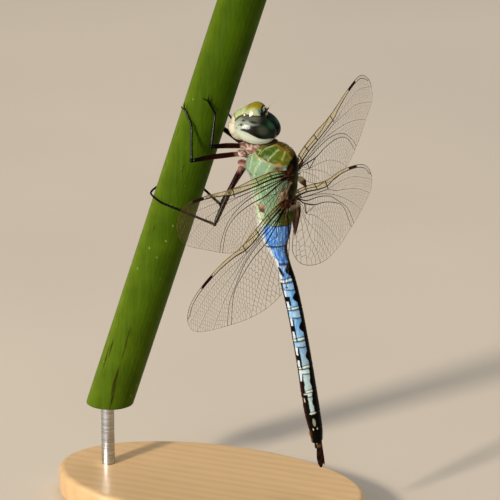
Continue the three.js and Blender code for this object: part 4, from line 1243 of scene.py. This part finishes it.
class DARNER_OT_wings(bpy.types.Operator):
    """Make the four wings: a pleated clear membrane, and the long veins and their net"""

    bl_idname = "darner.wings"
    bl_label = "Wings"

    def film_material(self, name, tone, **shader):
        # Dry chitin film: nearly clear, faintly amber, with a soft gloss on its pleats.
        finish = Finish(name, **shader)
        cloud = finish.add("ShaderNodeTexNoise", {"Vector": finish.place, "Scale": 1 / (7 * MM)})
        shade = finish.add("ShaderNodeValToRGB", {"Fac": cloud},
                           stops=((0.35, [c * 0.92 for c in tone]), (0.7, tone)))
        wrinkle = finish.add("ShaderNodeTexNoise", {
            "Vector": finish.place, "Scale": 1 / (0.8 * MM)})
        return finish.surface(shade, relief=(wrinkle, 0.4, 0.05))

    def film(self, name, front, rear, columns, rows, thickness, material):
        """A thin sheet between two lines of a wing."""
        front, rear = spline(front, columns), spline(rear, columns)
        bm = bmesh.new()
        bmesh.ops.create_grid(bm, x_segments=columns, y_segments=rows, size=0.5)
        for vert in bm.verts:
            column, share = round((vert.co.x + 0.5) * columns), 0.5 - vert.co.y
            vert.co = (*(front[column] * (1 - share) + rear[column] * share), 0)
        bmesh.ops.remove_doubles(bm, verts=bm.verts, dist=1e-4)
        bmesh.ops.solidify(bm, geom=bm.faces[:] + bm.verts[:] + bm.edges[:], thickness=thickness)
        return to_object(name, bm, material)

    def veins(self, name, plane, edges, lines, settings, material):
        """The long veins and the net, with their colours."""
        data, front = plane.data, plane.front
        # The left wings' net is a little bolder, and the right wings' veins a little finer.
        finer = 0.82 if plane.side > 0 else 1.12
        thick, thin = settings.main_vein * min(finer, 1), settings.crossvein * finer
        wanted = [(np.array([[*start, 0], [*end, 0]]),
                   thin * (0.62 + 1.2 * math.exp(-start[0] / 16))) for start, end in edges]

        def long_vein(line, root, tip, reach=15):
            radii = tip + (root - tip) * np.exp(-line[:, 0] / reach)
            wanted.append((np.column_stack([line, np.zeros(len(line))]), radii))

        long_vein(spline(front, 120), thick * 0.65, 0.06)
        long_vein(spline(plane.rear, 140), 0.06, 0.028)
        long_vein(spline(data["veins"][0], 60), thick * 0.45, 0.05)
        for k, (line, share) in enumerate(zip(lines[2:-1], VEIN_SHARES)):
            long_vein(line[::2], thick * share, 0.024 + 0.04 * (k == 0) + 0.01 * (k in (4, 5)),
                      19 if k < 6 else 12)
        triangle = np.array((*data["triangle"], data["triangle"][0]))
        long_vein(triangle, 0.12, 0.07)
        # The arculus, the nodus and two strong crossveins tie the leading veins together.
        ties = ((3.9, 1.7), (8.0, 1.1), (14.0, 1.3), (data["nodus"], 1.6))
        for at, reach in ties:
            top = front[int(np.argmin(np.abs(front[:, 0] - at)))]
            long_vein(np.array([top, (at + 0.15, top[1] - reach)]), 0.13, 0.1)
        veins = wires(name, wanted, material)
        u, v, _ = points_of(veins.data).T
        behind = plane.behind(u, v)
        outer = 1 - 0.6 * rise(u, data["nodus"] + 8, 12)
        near_long = distance_to([line[::8] for line in lines[1:-1]], u, v)
        near_strong = distance_to([*(lines[k][::8] for k in (2, 6, 7)), triangle], u, v)
        paint(veins.data, coats(
            settings.net,
            ("#7c6238", rise(u, 26, 16) * 0.8),
            (settings.vein, fall(near_long, 0.16, 0.05) * outer * 0.75),
            (settings.vein, fall(near_strong, 0.16, 0.05) * outer),
            (settings.vein, fall(u, 3.5, 3.0)),
            (settings.costa, fall(behind, 0.2, 0.12) * fall(u, data["stigma"][1], 2)),
            *((settings.vein, hump(u, at + 0.1, 0.3) * fall(behind, reach + 0.2, 0.1))
              for at, reach in ties),
            (settings.stigma, within(u, *data["stigma"], 0.3) * fall(behind, 0.8, 0.1))))
        return veins

    def stigma(self, bm, plane, radius):
        """The thick brown cell between the costa and the radius."""
        start, end = plane.data["stigma"]

        def place(t, turn):
            u = start + (end - start) * (0.02 + 0.96 * t)
            top, low = (np.interp(u, line[:, 0], line[:, 1]) for line in (plane.front, radius))
            squeeze = min(1, t * 6, (1 - t) * 6)
            v = (top + low) / 2 + ((top - low) * 0.4 + 0.05) * math.cos(turn) * squeeze
            return Vector((u, v, 0.09 * math.sin(turn) * squeeze))

        shell(bm, 28, 16, place, STIGMA)

    def root_plates(self, bm):
        """The hardened plates that carry the leading veins out of the thorax."""
        for line, start, end in (
                (((-1.1, 0.6, 0.0), (1.0, 0.95, 0.12), (3.4, 1.35, 0.0)), 0.42, 0.12),
                (((-1.2, 0.1, 0.0), (1.2, 0.25, 0.2), (4.2, 0.3, 0.0)), 0.44, 0.13),
                (((-1.1, -0.4, -0.1), (0.8, -0.4, -0.1), (2.6, -0.55, 0.0)), 0.3, 0.09),
                (((-1.0, -0.9, -0.1), (0.6, -1.1, 0.05), (1.6, -1.5, 0.0)), 0.26, 0.07)):
            tube(bm, line, lambda t: start * (1 - t) ** 1.3 + end, 12, 18, PLATE)

    def membranule(self, bm, line, width, stand):
        """The opaque flap at a wing's inner rear corner.

        The line gives (u, v, height, half breadth), and stand says how far it leaves the plane.
        """
        steps = 32
        line = spline(line, steps)

        def place(t, turn):
            u, v, height, half = line[round(t * steps)]
            closed = half if 0 < t < 1 else 0
            return Vector((u + width * closed * math.sin(turn), v,
                           stand * (height + closed * math.cos(turn)) + 0.05))

        shell(bm, steps, 16, place, FLAP)

    def paint_plates(self, mesh, plane, stand, stigma):
        """Colours of the stigma, the root plates and the flap."""
        (u, v, height), part = points_of(mesh).T, stored(mesh, "part")
        cloud = rough_edge(points_of(mesh), 0.5)
        plates = coats("#1a0d07",
                       ("#7a3f1c", rise(cloud, 0.02, 0.2) * 0.7),
                       ("#a58a5c", rise(cloud, 0.4, 0.06) * 0.5 * rise(u, 0.6, 0.3)))
        line = np.array(plane.data["flap"])[::-1]
        middle, half = (np.interp(v, line[:, 1], line[:, k]) for k in (2, 3))
        across = (height - middle * stand) / (half * stand)
        pale = fall(-v + 0.5 * across, 0.5 - line[-2, 1], 0.4) * (0.92 if plane.side > 0 else 0.3)
        flap = coats(plane.data["flap_brown"] if plane.side > 0 else "#5c3218",
                     ("#1c0d07", rise(across, 0.55, 0.25)),
                     ("#cdc2a4", pale))
        paint(mesh, chosen(part == STIGMA, np.array(stigma), chosen(part == FLAP, flap, plates)))

    def execute(self, context):
        settings = context.scene.darner_wing
        clear = self.film_material("Wing membrane, clear chitin", settings.clear, Alpha=0.025,
                                   IOR=1.5, Roughness=0.25, Specular_IOR_Level=0.35)
        # The leading strip lets light through and takes only the blue from it.
        amber = self.film_material("Costal membrane, amber chitin", linear("#fff2a8"), Alpha=0.38,
                                   IOR=1.05, Roughness=0.05, Transmission_Weight=1.0)
        sclerotin = painted_cuticle("Vein sclerotin", 0.12, 0.004, (0.85, 1.15), 0.4)
        brown = painted_cuticle("Wing plates, opaque chitin", 0.1, 0.01, (0.8, 1.2), 0.35)
        for kind, data in WINGS.items():
            edges, lines = wing_net(kind)
            radius = lines[2]
            for side, hand in ((-1, "left"), (1, "right")):
                name = f"{kind}_{hand}"
                plane = WingPlane(kind, side)
                sheet = self.film(f"{name}_membrane", plane.front, plane.rear, 120, 28,
                                  settings.membrane, clear)
                settle(plane.place(sheet), [name])
                inner = [line[:int(np.argmin(np.abs(line[:, 0] - data["stigma"][0])))]
                         for line in (plane.front, radius)]
                strip = self.film(f"{name}_costal_film", *inner, 90, 4, settings.membrane, amber)
                settle(plane.place(strip, 0.03))
                veins = self.veins(f"{name}_veins", plane, edges, lines, settings, sclerotin)
                settle(plane.place(veins))
                bm = bmesh.new()
                self.stigma(bm, plane, radius)
                self.root_plates(bm)
                # The right flaps stand off the back, and the left ones lie against it.
                width, stand = (0.08, 1.0) if side > 0 else (0.3, 0.15)
                self.membranule(bm, data["flap"], width, stand)
                plates = to_object(f"{name}_plates", bm, brown)
                self.paint_plates(plates.data, plane, stand, settings.stigma)
                settle(plane.place(plates))
        return {"FINISHED"}


# ------------------------------------------------------------------ claspers, legs and hair


class DARNER_OT_claspers(bpy.types.Operator):
    """Make the two long cerci and the short epiproct between them"""

    bl_idname = "darner.claspers"
    bl_label = "Claspers"

    def clasper(self, bm, start, end, half_width, roll, outer):
        """A flat leaf on a narrow stalk, with a blunt, hooked tip and a raised keel."""
        start, end = Vector(start), Vector(end)
        ahead = (end - start).normalized()
        wide = square_to(Matrix.Rotation(roll, 3, ahead) @ Vector((0, 1, 0)), ahead)
        thin = wide.cross(ahead)

        def place(t, turn):
            swell = np.interp(t, [0, 0.1, 0.3, 0.6, 0.82, 0.95, 1],
                              [0.5, 0.5, 0.8, 1, 0.8, 0.35, 0])
            closed = 0 if t < 1e-6 else 1
            keel = 0.14 + 0.1 * max(0, math.cos(turn)) ** 6
            side = half_width * swell * math.sin(turn) * closed
            rise_up = keel * math.cos(turn) * closed * min(1, 8 * (1 - t))
            return (start.lerp(end, t) + wide * (side + outer * 0.1 * t)
                    + thin * (rise_up + 0.12 * math.sin(3 * t)))

        shell(bm, 48, 28, place)

    def execute(self, context):
        bm = bmesh.new()
        for side in (-1, 1):
            self.clasper(bm, (6.75, side * 0.6, -51.6), (7.55, side * 0.8, -57.35), 0.78,
                         -side * 0.75, side)
        self.clasper(bm, (5.8, 0.0, -51.8), (6.1, 0.0, -53.6), 0.55, 0.0, 0)
        piece = to_object("claspers", bm, painted_cuticle(
            "Clasper chitin, dark brown", 0.12, 0.012, (0.7, 1.2), 0.3, Coat_Weight=0.06))
        points = points_of(piece.data)
        paint(piece.data, coats("#120906",
                                ("#3a1a0e", rise(rough_edge(points, 0.8), 0.1, 0.3) * 0.6),
                                ("#8a6a44", hump(points[:, 2], -52.6, 0.3) * 0.5)))
        settle(piece, ["cercus_left", "cercus_right", "epiproct"])
        return {"FINISHED"}


def grip_at(point, ahead):
    """Direction from a point to the reed, square to a limb's direction."""
    along = (STEM_TOP - STEM_FOOT).normalized()
    return square_to(square_to(STEM_FOOT - point, along), ahead)


class DARNER_OT_legs(bpy.types.Operator):
    """Make the six legs with their spines and claws"""

    bl_idname = "darner.legs"
    bl_label = "Legs"

    def spines(self, bm, start, end, count, length, radius, spread):
        """Two rows of spines along a limb, leaning towards its end and its gripping side."""
        ahead = (end - start).normalized()
        grip = grip_at((start + end) / 2, ahead)
        for row in (-1, 1):
            out = Matrix.Rotation(row * spread, 3, ahead) @ grip
            for i in range(count):
                share = 0.08 + 0.86 * (i + 0.25 * (row + 1)) / count
                base = start.lerp(end, share)
                reach = length * (1 - 0.35 * share)
                tip = base + out * (radius + reach * 0.8) + ahead * reach * 0.62
                spike(bm, base + out * radius * 0.6, tip, 0.045, 5)

    def claws(self, bm, line):
        """Two hooked claws at the end of a foot."""
        end = line[-1]
        ahead = (end - line[-3]).normalized()
        grip = grip_at(end, ahead)
        across = ahead.cross(grip)
        for fork in (-1, 1):
            bend = end + (ahead * 0.6 + across * fork * 0.55 - grip * 0.08)
            tip = bend + (ahead * 0.45 + across * fork * 0.1 + grip * 0.16)
            tube(bm, (end - ahead * 0.05, bend, tip), lambda t: 0.15 - 0.09 * t, 8, 12)

    def execute(self, context):
        settings = context.scene.darner_perch

        def thigh_radius(t):
            return (0.5 + 0.1 * math.sin(math.pi * t) - 0.1 * t) * min(1, 12 * (1 - t) + 0.3)

        def shin_radius(t):
            return 0.28 - 0.06 * t + 0.05 * math.exp(-(t / 0.06) ** 2)

        def foot_radius(t):
            # Three joints, each a little wider towards its end.
            low, high = next(pair for pair in ((0.0, 0.16), (0.16, 0.42), (0.42, 1.0))
                             if t <= pair[1] + 1e-9)
            return 0.19 + 0.05 * ((t - low) / (high - low)) ** 2

        for name, places in LEGS.items():
            side = -1 if name.endswith("left") else 1
            hip = Vector(HIPS[name.split("_")[1]])
            hip.y *= side
            knee, ankle, *foot = [Vector((x, side * y, z)) for x, y, z in places]
            foot = [ankle, *foot]
            bm = bmesh.new()
            start = hip.lerp(knee, 0.07)
            bow = (start + knee) / 2 + Vector((0, side * 0.12, 0.18))
            tube(bm, (start, bow, knee), thigh_radius, 16, 40)
            blob(bm, hip.lerp(knee, 0.085), (0.56, 0.54, 0.54), segments=20)
            blob(bm, knee, (0.42, 0.42, 0.42), segments=18)
            bow = (knee + ankle) / 2 + Vector((0, side * 0.06, 0))
            tube(bm, (knee.lerp(ankle, 0.02), bow, ankle), shin_radius, 12, 40)
            blob(bm, ankle, (0.23, 0.23, 0.23), segments=14)
            tube(bm, foot, foot_radius, 10, 48)
            self.spines(bm, start, knee, 12, 0.32, 0.42, 0.5)
            self.spines(bm, knee, ankle, 11, 0.8, 0.24, 0.62)
            line = [Vector(p) for p in spline(foot, 20)]
            for a, b in zip(line[2::3], line[4::3]):
                self.spines(bm, a, b, 1, 0.35, 0.15, 0.5)
            self.claws(bm, line)
            leg = to_object(name, bm, painted_cuticle(
                f"Leg chitin, {name[4:].replace('_', ' ')}", 0.1, 0.01, (0.75, 1.15), 0.28,
                Coat_Weight=0.05))
            offset, thigh = points_of(leg.data) - np.array(hip), np.array(knee - hip)
            share = offset @ thigh / (thigh @ thigh)
            gap = np.linalg.norm(offset - np.clip(share, 0, 1)[:, None] * thigh, axis=1)
            on_thigh = (gap < 0.9) * fall(share, 0.97, 0.02)
            paint(leg.data, coats(settings.chitin,
                                  (settings.thigh, on_thigh * fall(share, 0.62, 0.3)),
                                  ("#a87a68", on_thigh * fall(share, 0.15, 0.04) * 0.7)))
            settle(leg, [f"{name}_{joint}" for joint in ("femur", "tibia", "tarsus")])
        return {"FINISHED"}


BODY_HAIRS, NAPE_HAIRS, HAIR_RADIUS, HAIR_SEED = 1500, 420, 0.014, 11
NECK = 10.5  # the height above which hair grows all round


class DARNER_OT_hair(bpy.types.Operator):
    """Make the short pale hair on the neck, the breast and behind the eyes"""

    bl_idname = "darner.hair"
    bl_label = "Hair"

    def execute(self, context):
        rng = np.random.default_rng(HAIR_SEED)
        bm = bmesh.new()
        patch = bm.loops.layers.uv.new("OFBake")

        def grow(root, out, length, spot):
            """One hair, with its place in the bake's layout."""
            made = spike(bm, root - out * 0.08, root + out * length, HAIR_RADIUS, 3)
            for face in {f for v in made for f in v.link_faces}:
                for i, loop in enumerate(face.loops):
                    loop[patch].uv = (spot[0] + 0.003 * (i % 2), spot[1] + 0.003 * (i // 2))

        for _ in range(BODY_HAIRS):
            z = rng.uniform(-1.5, 12.2)
            angle = rng.uniform(150 if z < NECK else 0, 180)
            side = rng.choice((-1, 1))
            centre, depth, width, _ = body_ring(z)
            turn = math.radians(angle)
            root = Vector((centre + depth * INSET * math.cos(turn),
                           side * width * INSET * math.sin(turn), z))
            out = Vector((math.cos(turn) / depth, side * math.sin(turn) / width, 0)).normalized()
            lie = Vector((-0.25, 0, 0.35 if z > 10 else -0.45)) + Vector(rng.normal(0, 0.22, 3))
            grow(root, (out + lie).normalized(), rng.uniform(0.35, 0.8),
                 (angle / 360 + 0.25 + 0.25 * side, (z + 53) / 70))
        for _ in range(NAPE_HAIRS):
            turn, side = rng.uniform(-0.9, 0.5), rng.choice((-1, 1))
            root = Vector((-5.0 + 1.6 * math.sin(turn), side * rng.uniform(0.2, 2.6),
                           12.9 + 0.5 * math.cos(turn)))
            out = Vector((rng.uniform(0.3, 1.0), side * 0.2, rng.uniform(-0.7, 0.1))).normalized()
            grow(root, out, rng.uniform(0.5, 1.0), (0.5 + side * 0.2, 0.96))
        # Fine insect hair: pale and thin, so it shows only as a soft bloom against the dark.
        finish = Finish("Insect hair, pale", Roughness=0.55, Alpha=0.75, Sheen_Weight=0.3)
        cloud = finish.add("ShaderNodeTexNoise", {"Vector": finish.place, "Scale": 1 / (1.5 * MM)})
        shade = finish.add("ShaderNodeValToRGB", {"Fac": cloud},
                           stops=((0.3, linear("#b3a58c")), (0.7, linear("#e8e2d2"))))
        hair = to_object("thorax_hair", bm, finish.surface(shade), smooth=False)
        settle(hair)
        return {"FINISHED"}


# ------------------------------------------------------------------ perch, stand and stage


# Scars on the reed as height, direction, half length in mm and half width in degrees. The stray
# ones are drawn at random: a count, and the ranges of their heights, half lengths and half widths.
SCARS = ((5.2, 81, 1.9, 0.9), (6.0, 86, 1.4, 0.6), (7.2, 77, 0.9, 0.7))
STRAY_SCARS = ((14, (-48, 42), (0.8, 2.6), (0.8, 2.0)), (12, (-49, -34), (2.0, 5.0), (1.5, 4.0)))
SPECKS, REED_SEED = 60, 5


class DARNER_OT_reed(bpy.types.Operator):
    """Make the cut length of reed"""

    bl_idname = "darner.reed"
    bl_label = "Reed perch"

    def epidermis(self, lean):
        # Reed epidermis: a smooth waxy green over fine long fibres, which show as faint stripes.
        finish = Finish("Reed epidermis, waxy", Specular_IOR_Level=0.02)
        upright = finish.add("ShaderNodeMapping", {
            "Vector": finish.place, "Rotation": (0, -lean, 0), "Scale": (1, 1, 0.02)})
        fibre = finish.add("ShaderNodeTexNoise", {
            "Vector": upright, "Scale": 1 / (0.45 * MM), "Detail": 3.0})
        cloud = finish.add("ShaderNodeTexNoise", {"Vector": finish.place, "Scale": 1 / (5 * MM)})
        both = finish.add("ShaderNodeMath", {0: fibre, 1: cloud}, operation="ADD")
        shade = finish.add("ShaderNodeMapRange", {
            "Value": both, "From Min": 0.7, "From Max": 1.3, "To Min": 0.8, "To Max": 1.2})
        return finish.surface(finish.painted(shade), (fibre, 0.3, 0.5), (fibre, 0.5, 0.03))

    def colours(self, height, turn, settings):
        """The reed's green by height and direction, with a painted highlight down its lit side,
        painted shade down the other, and its scars and specks.
        """
        lower = fall(height, -10, 40)
        # A painted highlight runs down the lit side and painted shade down the side away from the
        # light; the green is also paler towards the foot.
        rgb = coats(settings.reed,
                    ("#6d8422", np.clip(hump(turn, 150, 30) * 0.5 + 0.18 * lower, 0, 1)),
                    ("#2c4006", hump(np.abs(turn - 40), 0, 30) * 0.4))
        # Dry brown scars along the fibres, and pale specks.
        rng = np.random.default_rng(REED_SEED)
        scars = [*SCARS]
        for count, heights, lengths, widths in STRAY_SCARS:
            scars += [(rng.uniform(*heights), rng.uniform(-180, 180), rng.uniform(*lengths),
                       rng.uniform(*widths)) for _ in range(count)]

        def gap_to(angle):
            return (turn - angle + 180) % 360 - 180

        for at, angle, long, wide in scars:
            slanted = (gap_to(angle) - 0.6 * (height - at)) / wide
            reach = np.hypot((height - at) / long, slanted)
            rgb = coats(rgb, ("#2a1608", fall(reach, 0.85, 0.3) * 0.85))
        for _ in range(SPECKS):
            at, angle = rng.uniform(-49, 43), rng.uniform(-180, 180)
            reach = np.hypot(height - at, gap_to(angle) * STEM_DEGREE_MM)
            rgb = coats(rgb, ("#a8b878", fall(reach, 0.1, 0.09) * 0.7))
        return rgb

    def execute(self, context):
        settings = context.scene.darner_perch
        lean = math.atan2(STEM_TOP.x - STEM_FOOT.x, STEM_TOP.z - STEM_FOOT.z)
        rows, face_rows = 320, 10
        face = face_rows / rows

        def culm(t, turn):
            # The first and last rows turn in over the cut ends, with a slight hollow in the pith.
            share = clamp((t - face) / (1 - 2 * face))
            centre = STEM_TOP.lerp(STEM_FOOT, share)
            edge = min(1, t / face, (1 - t) / face)
            rib = (1 - 0.006 * (0.5 + 0.5 * math.cos(turn * 34))
                   - 0.004 * math.sin(turn * 3 + 7 * share))
            reach = STEM_RADIUS * (rib if edge >= 1 else 0.985) * edge * 0.998
            sunk = 0.5 * max(0, 1 - (edge / 0.8) ** 2) * (1 if t < 0.5 else -1)
            return Vector((centre.x + reach * math.cos(turn) / math.cos(lean),
                           reach * math.sin(turn), centre.z - sunk))

        bm = bmesh.new()
        shell(bm, rows, 136, culm)
        reed = to_object("reed_culm", bm, self.epidermis(lean))
        (x, y, height), along = points_of(reed.data).T, stored(reed.data, "along")
        x = x - STEM_FOOT.x - (height - STEM_FOOT.z) * math.tan(lean)
        rgb = self.colours(height, np.degrees(np.arctan2(-y, x)), settings)
        cut = np.minimum(along, 1 - along) < (face_rows - 0.5) / rows
        radial = np.hypot(x * math.cos(lean), y) / STEM_RADIUS
        # The pith's pores run along the reed and are about half a millimetre wide.
        pores = rough_edge(points_of(reed.data) * np.array((1, 1, 0)), 1 / 2.2)
        pith = coats(settings.pith,
                     ("#8a7a3c", rise(pores, 0.15, 0.15)),
                     ("#7d9a34", rise(radial, 0.86, 0.05)))
        paint(reed.data, chosen(cut, pith, rgb))
        settle(reed, ["perch_reed"])
        return {"FINISHED"}


class DARNER_OT_stand(bpy.types.Operator):
    """Make the oval maple base and its steel rod"""

    bl_idname = "darner.stand"
    bl_label = "Display stand"

    def maple(self, wood):
        # Oiled maple: fine straight grain along the base, with soft growth bands and short flecks.
        finish = Finish("Maple, oiled", Coat_Weight=0.15, Coat_Roughness=0.25)
        stretched = finish.add("ShaderNodeMapping", {
            "Vector": finish.place, "Rotation": (0.25, 0.06, 0.05), "Scale": (0.09, 1, 1)})
        bands = finish.add("ShaderNodeTexWave", {
            "Vector": stretched, "Scale": 1 / (9 * MM), "Distortion": 4.0, "Detail": 3.0,
            "Detail Scale": 1.4}, bands_direction="Y").outputs["Fac"]
        grain = finish.add("ShaderNodeTexNoise", {
            "Vector": stretched, "Scale": 1 / (0.5 * MM), "Detail": 4.0})
        both = finish.add("ShaderNodeMix", {0: 0.72, 2: bands, 3: grain})
        shade = finish.add("ShaderNodeValToRGB", {"Fac": both}, stops=(
            (0.15, wood * 0.86), (0.5, wood), (0.9, np.minimum(wood * 1.08, 1))))
        return finish.surface(shade, (grain, 0.36, 0.56), (grain, 0.3, 0.05))

    def steel(self):
        # Drawn stainless steel: bright, with fine rings left by polishing in a lathe.
        finish = Finish("Stainless steel, lathe polished", Metallic=1.0)
        rings = finish.add("ShaderNodeMapping", {"Vector": finish.place, "Scale": (0.03, 0.03, 1)})
        turned = finish.add("ShaderNodeTexNoise", {"Vector": rings, "Scale": 1 / (0.12 * MM)})
        shade = finish.add("ShaderNodeValToRGB", {"Fac": turned},
                           stops=((0.3, linear("#8f9295")), (0.7, linear("#c9cbce"))))
        return finish.surface(shade, (turned, 0.2, 0.38))

    def execute(self, context):
        low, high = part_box("stand_base")
        half, middle = (high - low) / 2 / MM, (high + low) / 2 / MM
        bm = bmesh.new()
        made = bmesh.ops.create_circle(bm, cap_ends=True, radius=1, segments=160)["verts"]
        bmesh.ops.scale(bm, vec=(half.x, half.y, 1), verts=made)
        raised = bmesh.ops.extrude_face_region(bm, geom=bm.faces[:])
        tops = [v for v in raised["geom"] if isinstance(v, bmesh.types.BMVert)]
        bmesh.ops.translate(bm, vec=(0, 0, 2 * half.z), verts=tops)
        rims = [e for e in bm.edges if abs(e.verts[0].co.z - e.verts[1].co.z) < 1e-6]
        bmesh.ops.bevel(bm, geom=rims, offset=1.2, segments=5, profile=0.5, affect="EDGES",
                        material=-1, clamp_overlap=True)
        bmesh.ops.translate(bm, vec=(middle.x, middle.y, low.z / MM), verts=bm.verts)
        wood = self.maple(np.array(context.scene.darner_perch.maple))
        base = to_object("stand_base_oval", bm, wood)
        for face in base.data.polygons:
            face.use_smooth = abs(face.normal.z) < 0.999
        settle(base, ["stand_base"], origin=(0, 0, 0))

        low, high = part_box("stand_rod")
        half, middle = (high - low) / 2 / MM, (high + low) / 2 / MM

        def bar(t, turn):
            share, edge = clamp((t - 0.1) / 0.8), min(1, t / 0.1, (1 - t) / 0.1)
            return Vector((middle.x + half.x * edge * math.cos(turn),
                           middle.y + half.x * edge * math.sin(turn),
                           middle.z + half.z * (2 * share - 1)))

        bm = bmesh.new()
        shell(bm, 40, 48, bar)
        rod = to_object("stand_rod_steel", bm, self.steel())
        settle(rod, ["stand_rod"], origin=(0, 0, 0))
        return {"FINISHED"}


class DARNER_OT_stage(bpy.types.Operator):
    """Set out the pale floor, the soft lights and the camera"""

    bl_idname = "darner.stage"
    bl_label = "Studio stage"

    def floor(self, tone):
        # Matt painted floor: an even pale tone with a very faint mottle.
        finish = Finish("Studio floor, matt paint", Roughness=0.9)
        cloud = finish.add("ShaderNodeTexNoise", {
            "Vector": finish.place, "Scale": 1 / (90 * MM), "Detail": 1.0})
        shade = finish.add("ShaderNodeValToRGB", {"Fac": cloud},
                           stops=((0.3, tone * 0.96), (0.7, tone * 1.03)))
        bm = bmesh.new()
        bmesh.ops.create_grid(bm, x_segments=1, y_segments=1, size=6)
        floor = to_object("studio_floor", bm, finish.surface(shade), smooth=False)

    def lamp(self, scene, name, direction, distance, size, power, hue):
        """A round lamp that shines at the insect."""
        light = bpy.data.lights.new(name, "AREA")
        light.shape = "DISK"
        light.size = size
        light.energy = power
        light.color = linear(hue)
        holder = bpy.data.objects.new(name, light)
        towards = Vector(direction).normalized()
        holder.location = INSECT_ORIGIN + towards * distance
        holder.rotation_euler = towards.to_track_quat("Z", "Y").to_euler()
        scene.collection.objects.link(holder)
        return holder

    def camera(self, scene):
        """A camera one metre from the insect, turned so that the insect sits off the middle."""
        data = bpy.data.cameras.new("camera")
        data.sensor_width = 36
        data.lens = CAMERA["lens"]
        data.clip_start, data.clip_end = 0.05, 50
        azimuth, elevation = math.radians(CAMERA["azimuth"]), math.radians(CAMERA["elevation"])
        back = Vector((math.sin(azimuth) * math.cos(elevation),
                       -math.cos(azimuth) * math.cos(elevation), math.sin(elevation)))
        right = Vector((math.cos(azimuth), math.sin(azimuth), 0))
        up = back.cross(right)
        focal = data.lens / data.sensor_width
        ahead = (-back * focal - right * CAMERA["right"] - up * CAMERA["up"]).normalized()
        side = square_to(right, ahead)
        turned = Matrix((side, side.cross(ahead), -ahead)).transposed()
        camera = bpy.data.objects.new("camera", data)
        camera.matrix_world = Matrix.Translation(INSECT_ORIGIN + back) @ turned.to_4x4()
        scene.collection.objects.link(camera)
        scene.camera = camera

    def execute(self, context):
        scene, settings = context.scene, context.scene.darner_stage
        self.floor(np.array(settings.floor))
        world = bpy.data.worlds.new("Studio light")
        world.use_nodes = True
        glow = world.node_tree.nodes["Background"]
        glow.inputs["Color"].default_value = (*linear("#f4f1ea"), 1)
        glow.inputs["Strength"].default_value = settings.fill
        scene.world = world
        # The key is small enough to draw the legs' shadows. The top light isn't mirrored, and the
        # softbox round the key is seen only as a highlight on the eyes and the polished cuticle.
        key, from_left = settings.key, (-0.36, -0.86, 0.42)
        self.lamp(scene, "key_light", from_left, 2.5, 0.32, key, "#fff4e2")
        top = self.lamp(scene, "top_light", (0.15, 0.3, 1.0), 1.2, 0.8, key * 0.08, "#f2f5ff")
        top.visible_glossy = False
        box = self.lamp(scene, "softbox", from_left, 1.1, 0.75, key * 0.95, "#fffaf2")
        box.visible_diffuse = False
        self.camera(scene)
        scene.view_settings.view_transform = "Standard"
        return {"FINISHED"}


# ------------------------------------------------------------------ add-on


class DARNER_PT_parts(bpy.types.Panel):
    """Lists the model's parts in the sidebar"""

    bl_idname = "DARNER_PT_parts"
    bl_label = "Green darner"
    bl_space_type = "VIEW_3D"
    bl_region_type = "UI"
    bl_category = "Darner"

    def draw(self, context):
        for part in PARTS:
            self.layout.operator(part.bl_idname)
        for name in SETTINGS:
            group = getattr(context.scene, name)
            box = self.layout.box()
            box.label(text=name.replace("_", " ").capitalize())
            for key in group.__annotations__:
                box.prop(group, key)


SETTINGS = {
    "darner_body": DarnerBodySettings,
    "darner_head": DarnerHeadSettings,
    "darner_wing": DarnerWingSettings,
    "darner_perch": DarnerPerchSettings,
    "darner_stage": DarnerStageSettings,
}
PARTS = (DARNER_OT_body, DARNER_OT_head, DARNER_OT_eyes, DARNER_OT_wings, DARNER_OT_claspers,
         DARNER_OT_legs, DARNER_OT_hair, DARNER_OT_reed, DARNER_OT_stand, DARNER_OT_stage)
CLASSES = (*SETTINGS.values(), *PARTS, DARNER_PT_parts)


def register():
    for made in CLASSES:
        bpy.utils.register_class(made)
    for name, group in SETTINGS.items():
        setattr(bpy.types.Scene, name, bpy.props.PointerProperty(type=group))


def unregister():
    for name in SETTINGS:
        delattr(bpy.types.Scene, name)
    for made in reversed(CLASSES):
        bpy.utils.unregister_class(made)


def main():
    register()
    bpy.ops.darner.body()
    bpy.ops.darner.head()
    bpy.ops.darner.eyes()
    bpy.ops.darner.wings()
    bpy.ops.darner.claspers()
    bpy.ops.darner.legs()
    bpy.ops.darner.hair()
    bpy.ops.darner.reed()
    bpy.ops.darner.stand()
    bpy.ops.darner.stage()


if __name__ == "__main__":
    main()
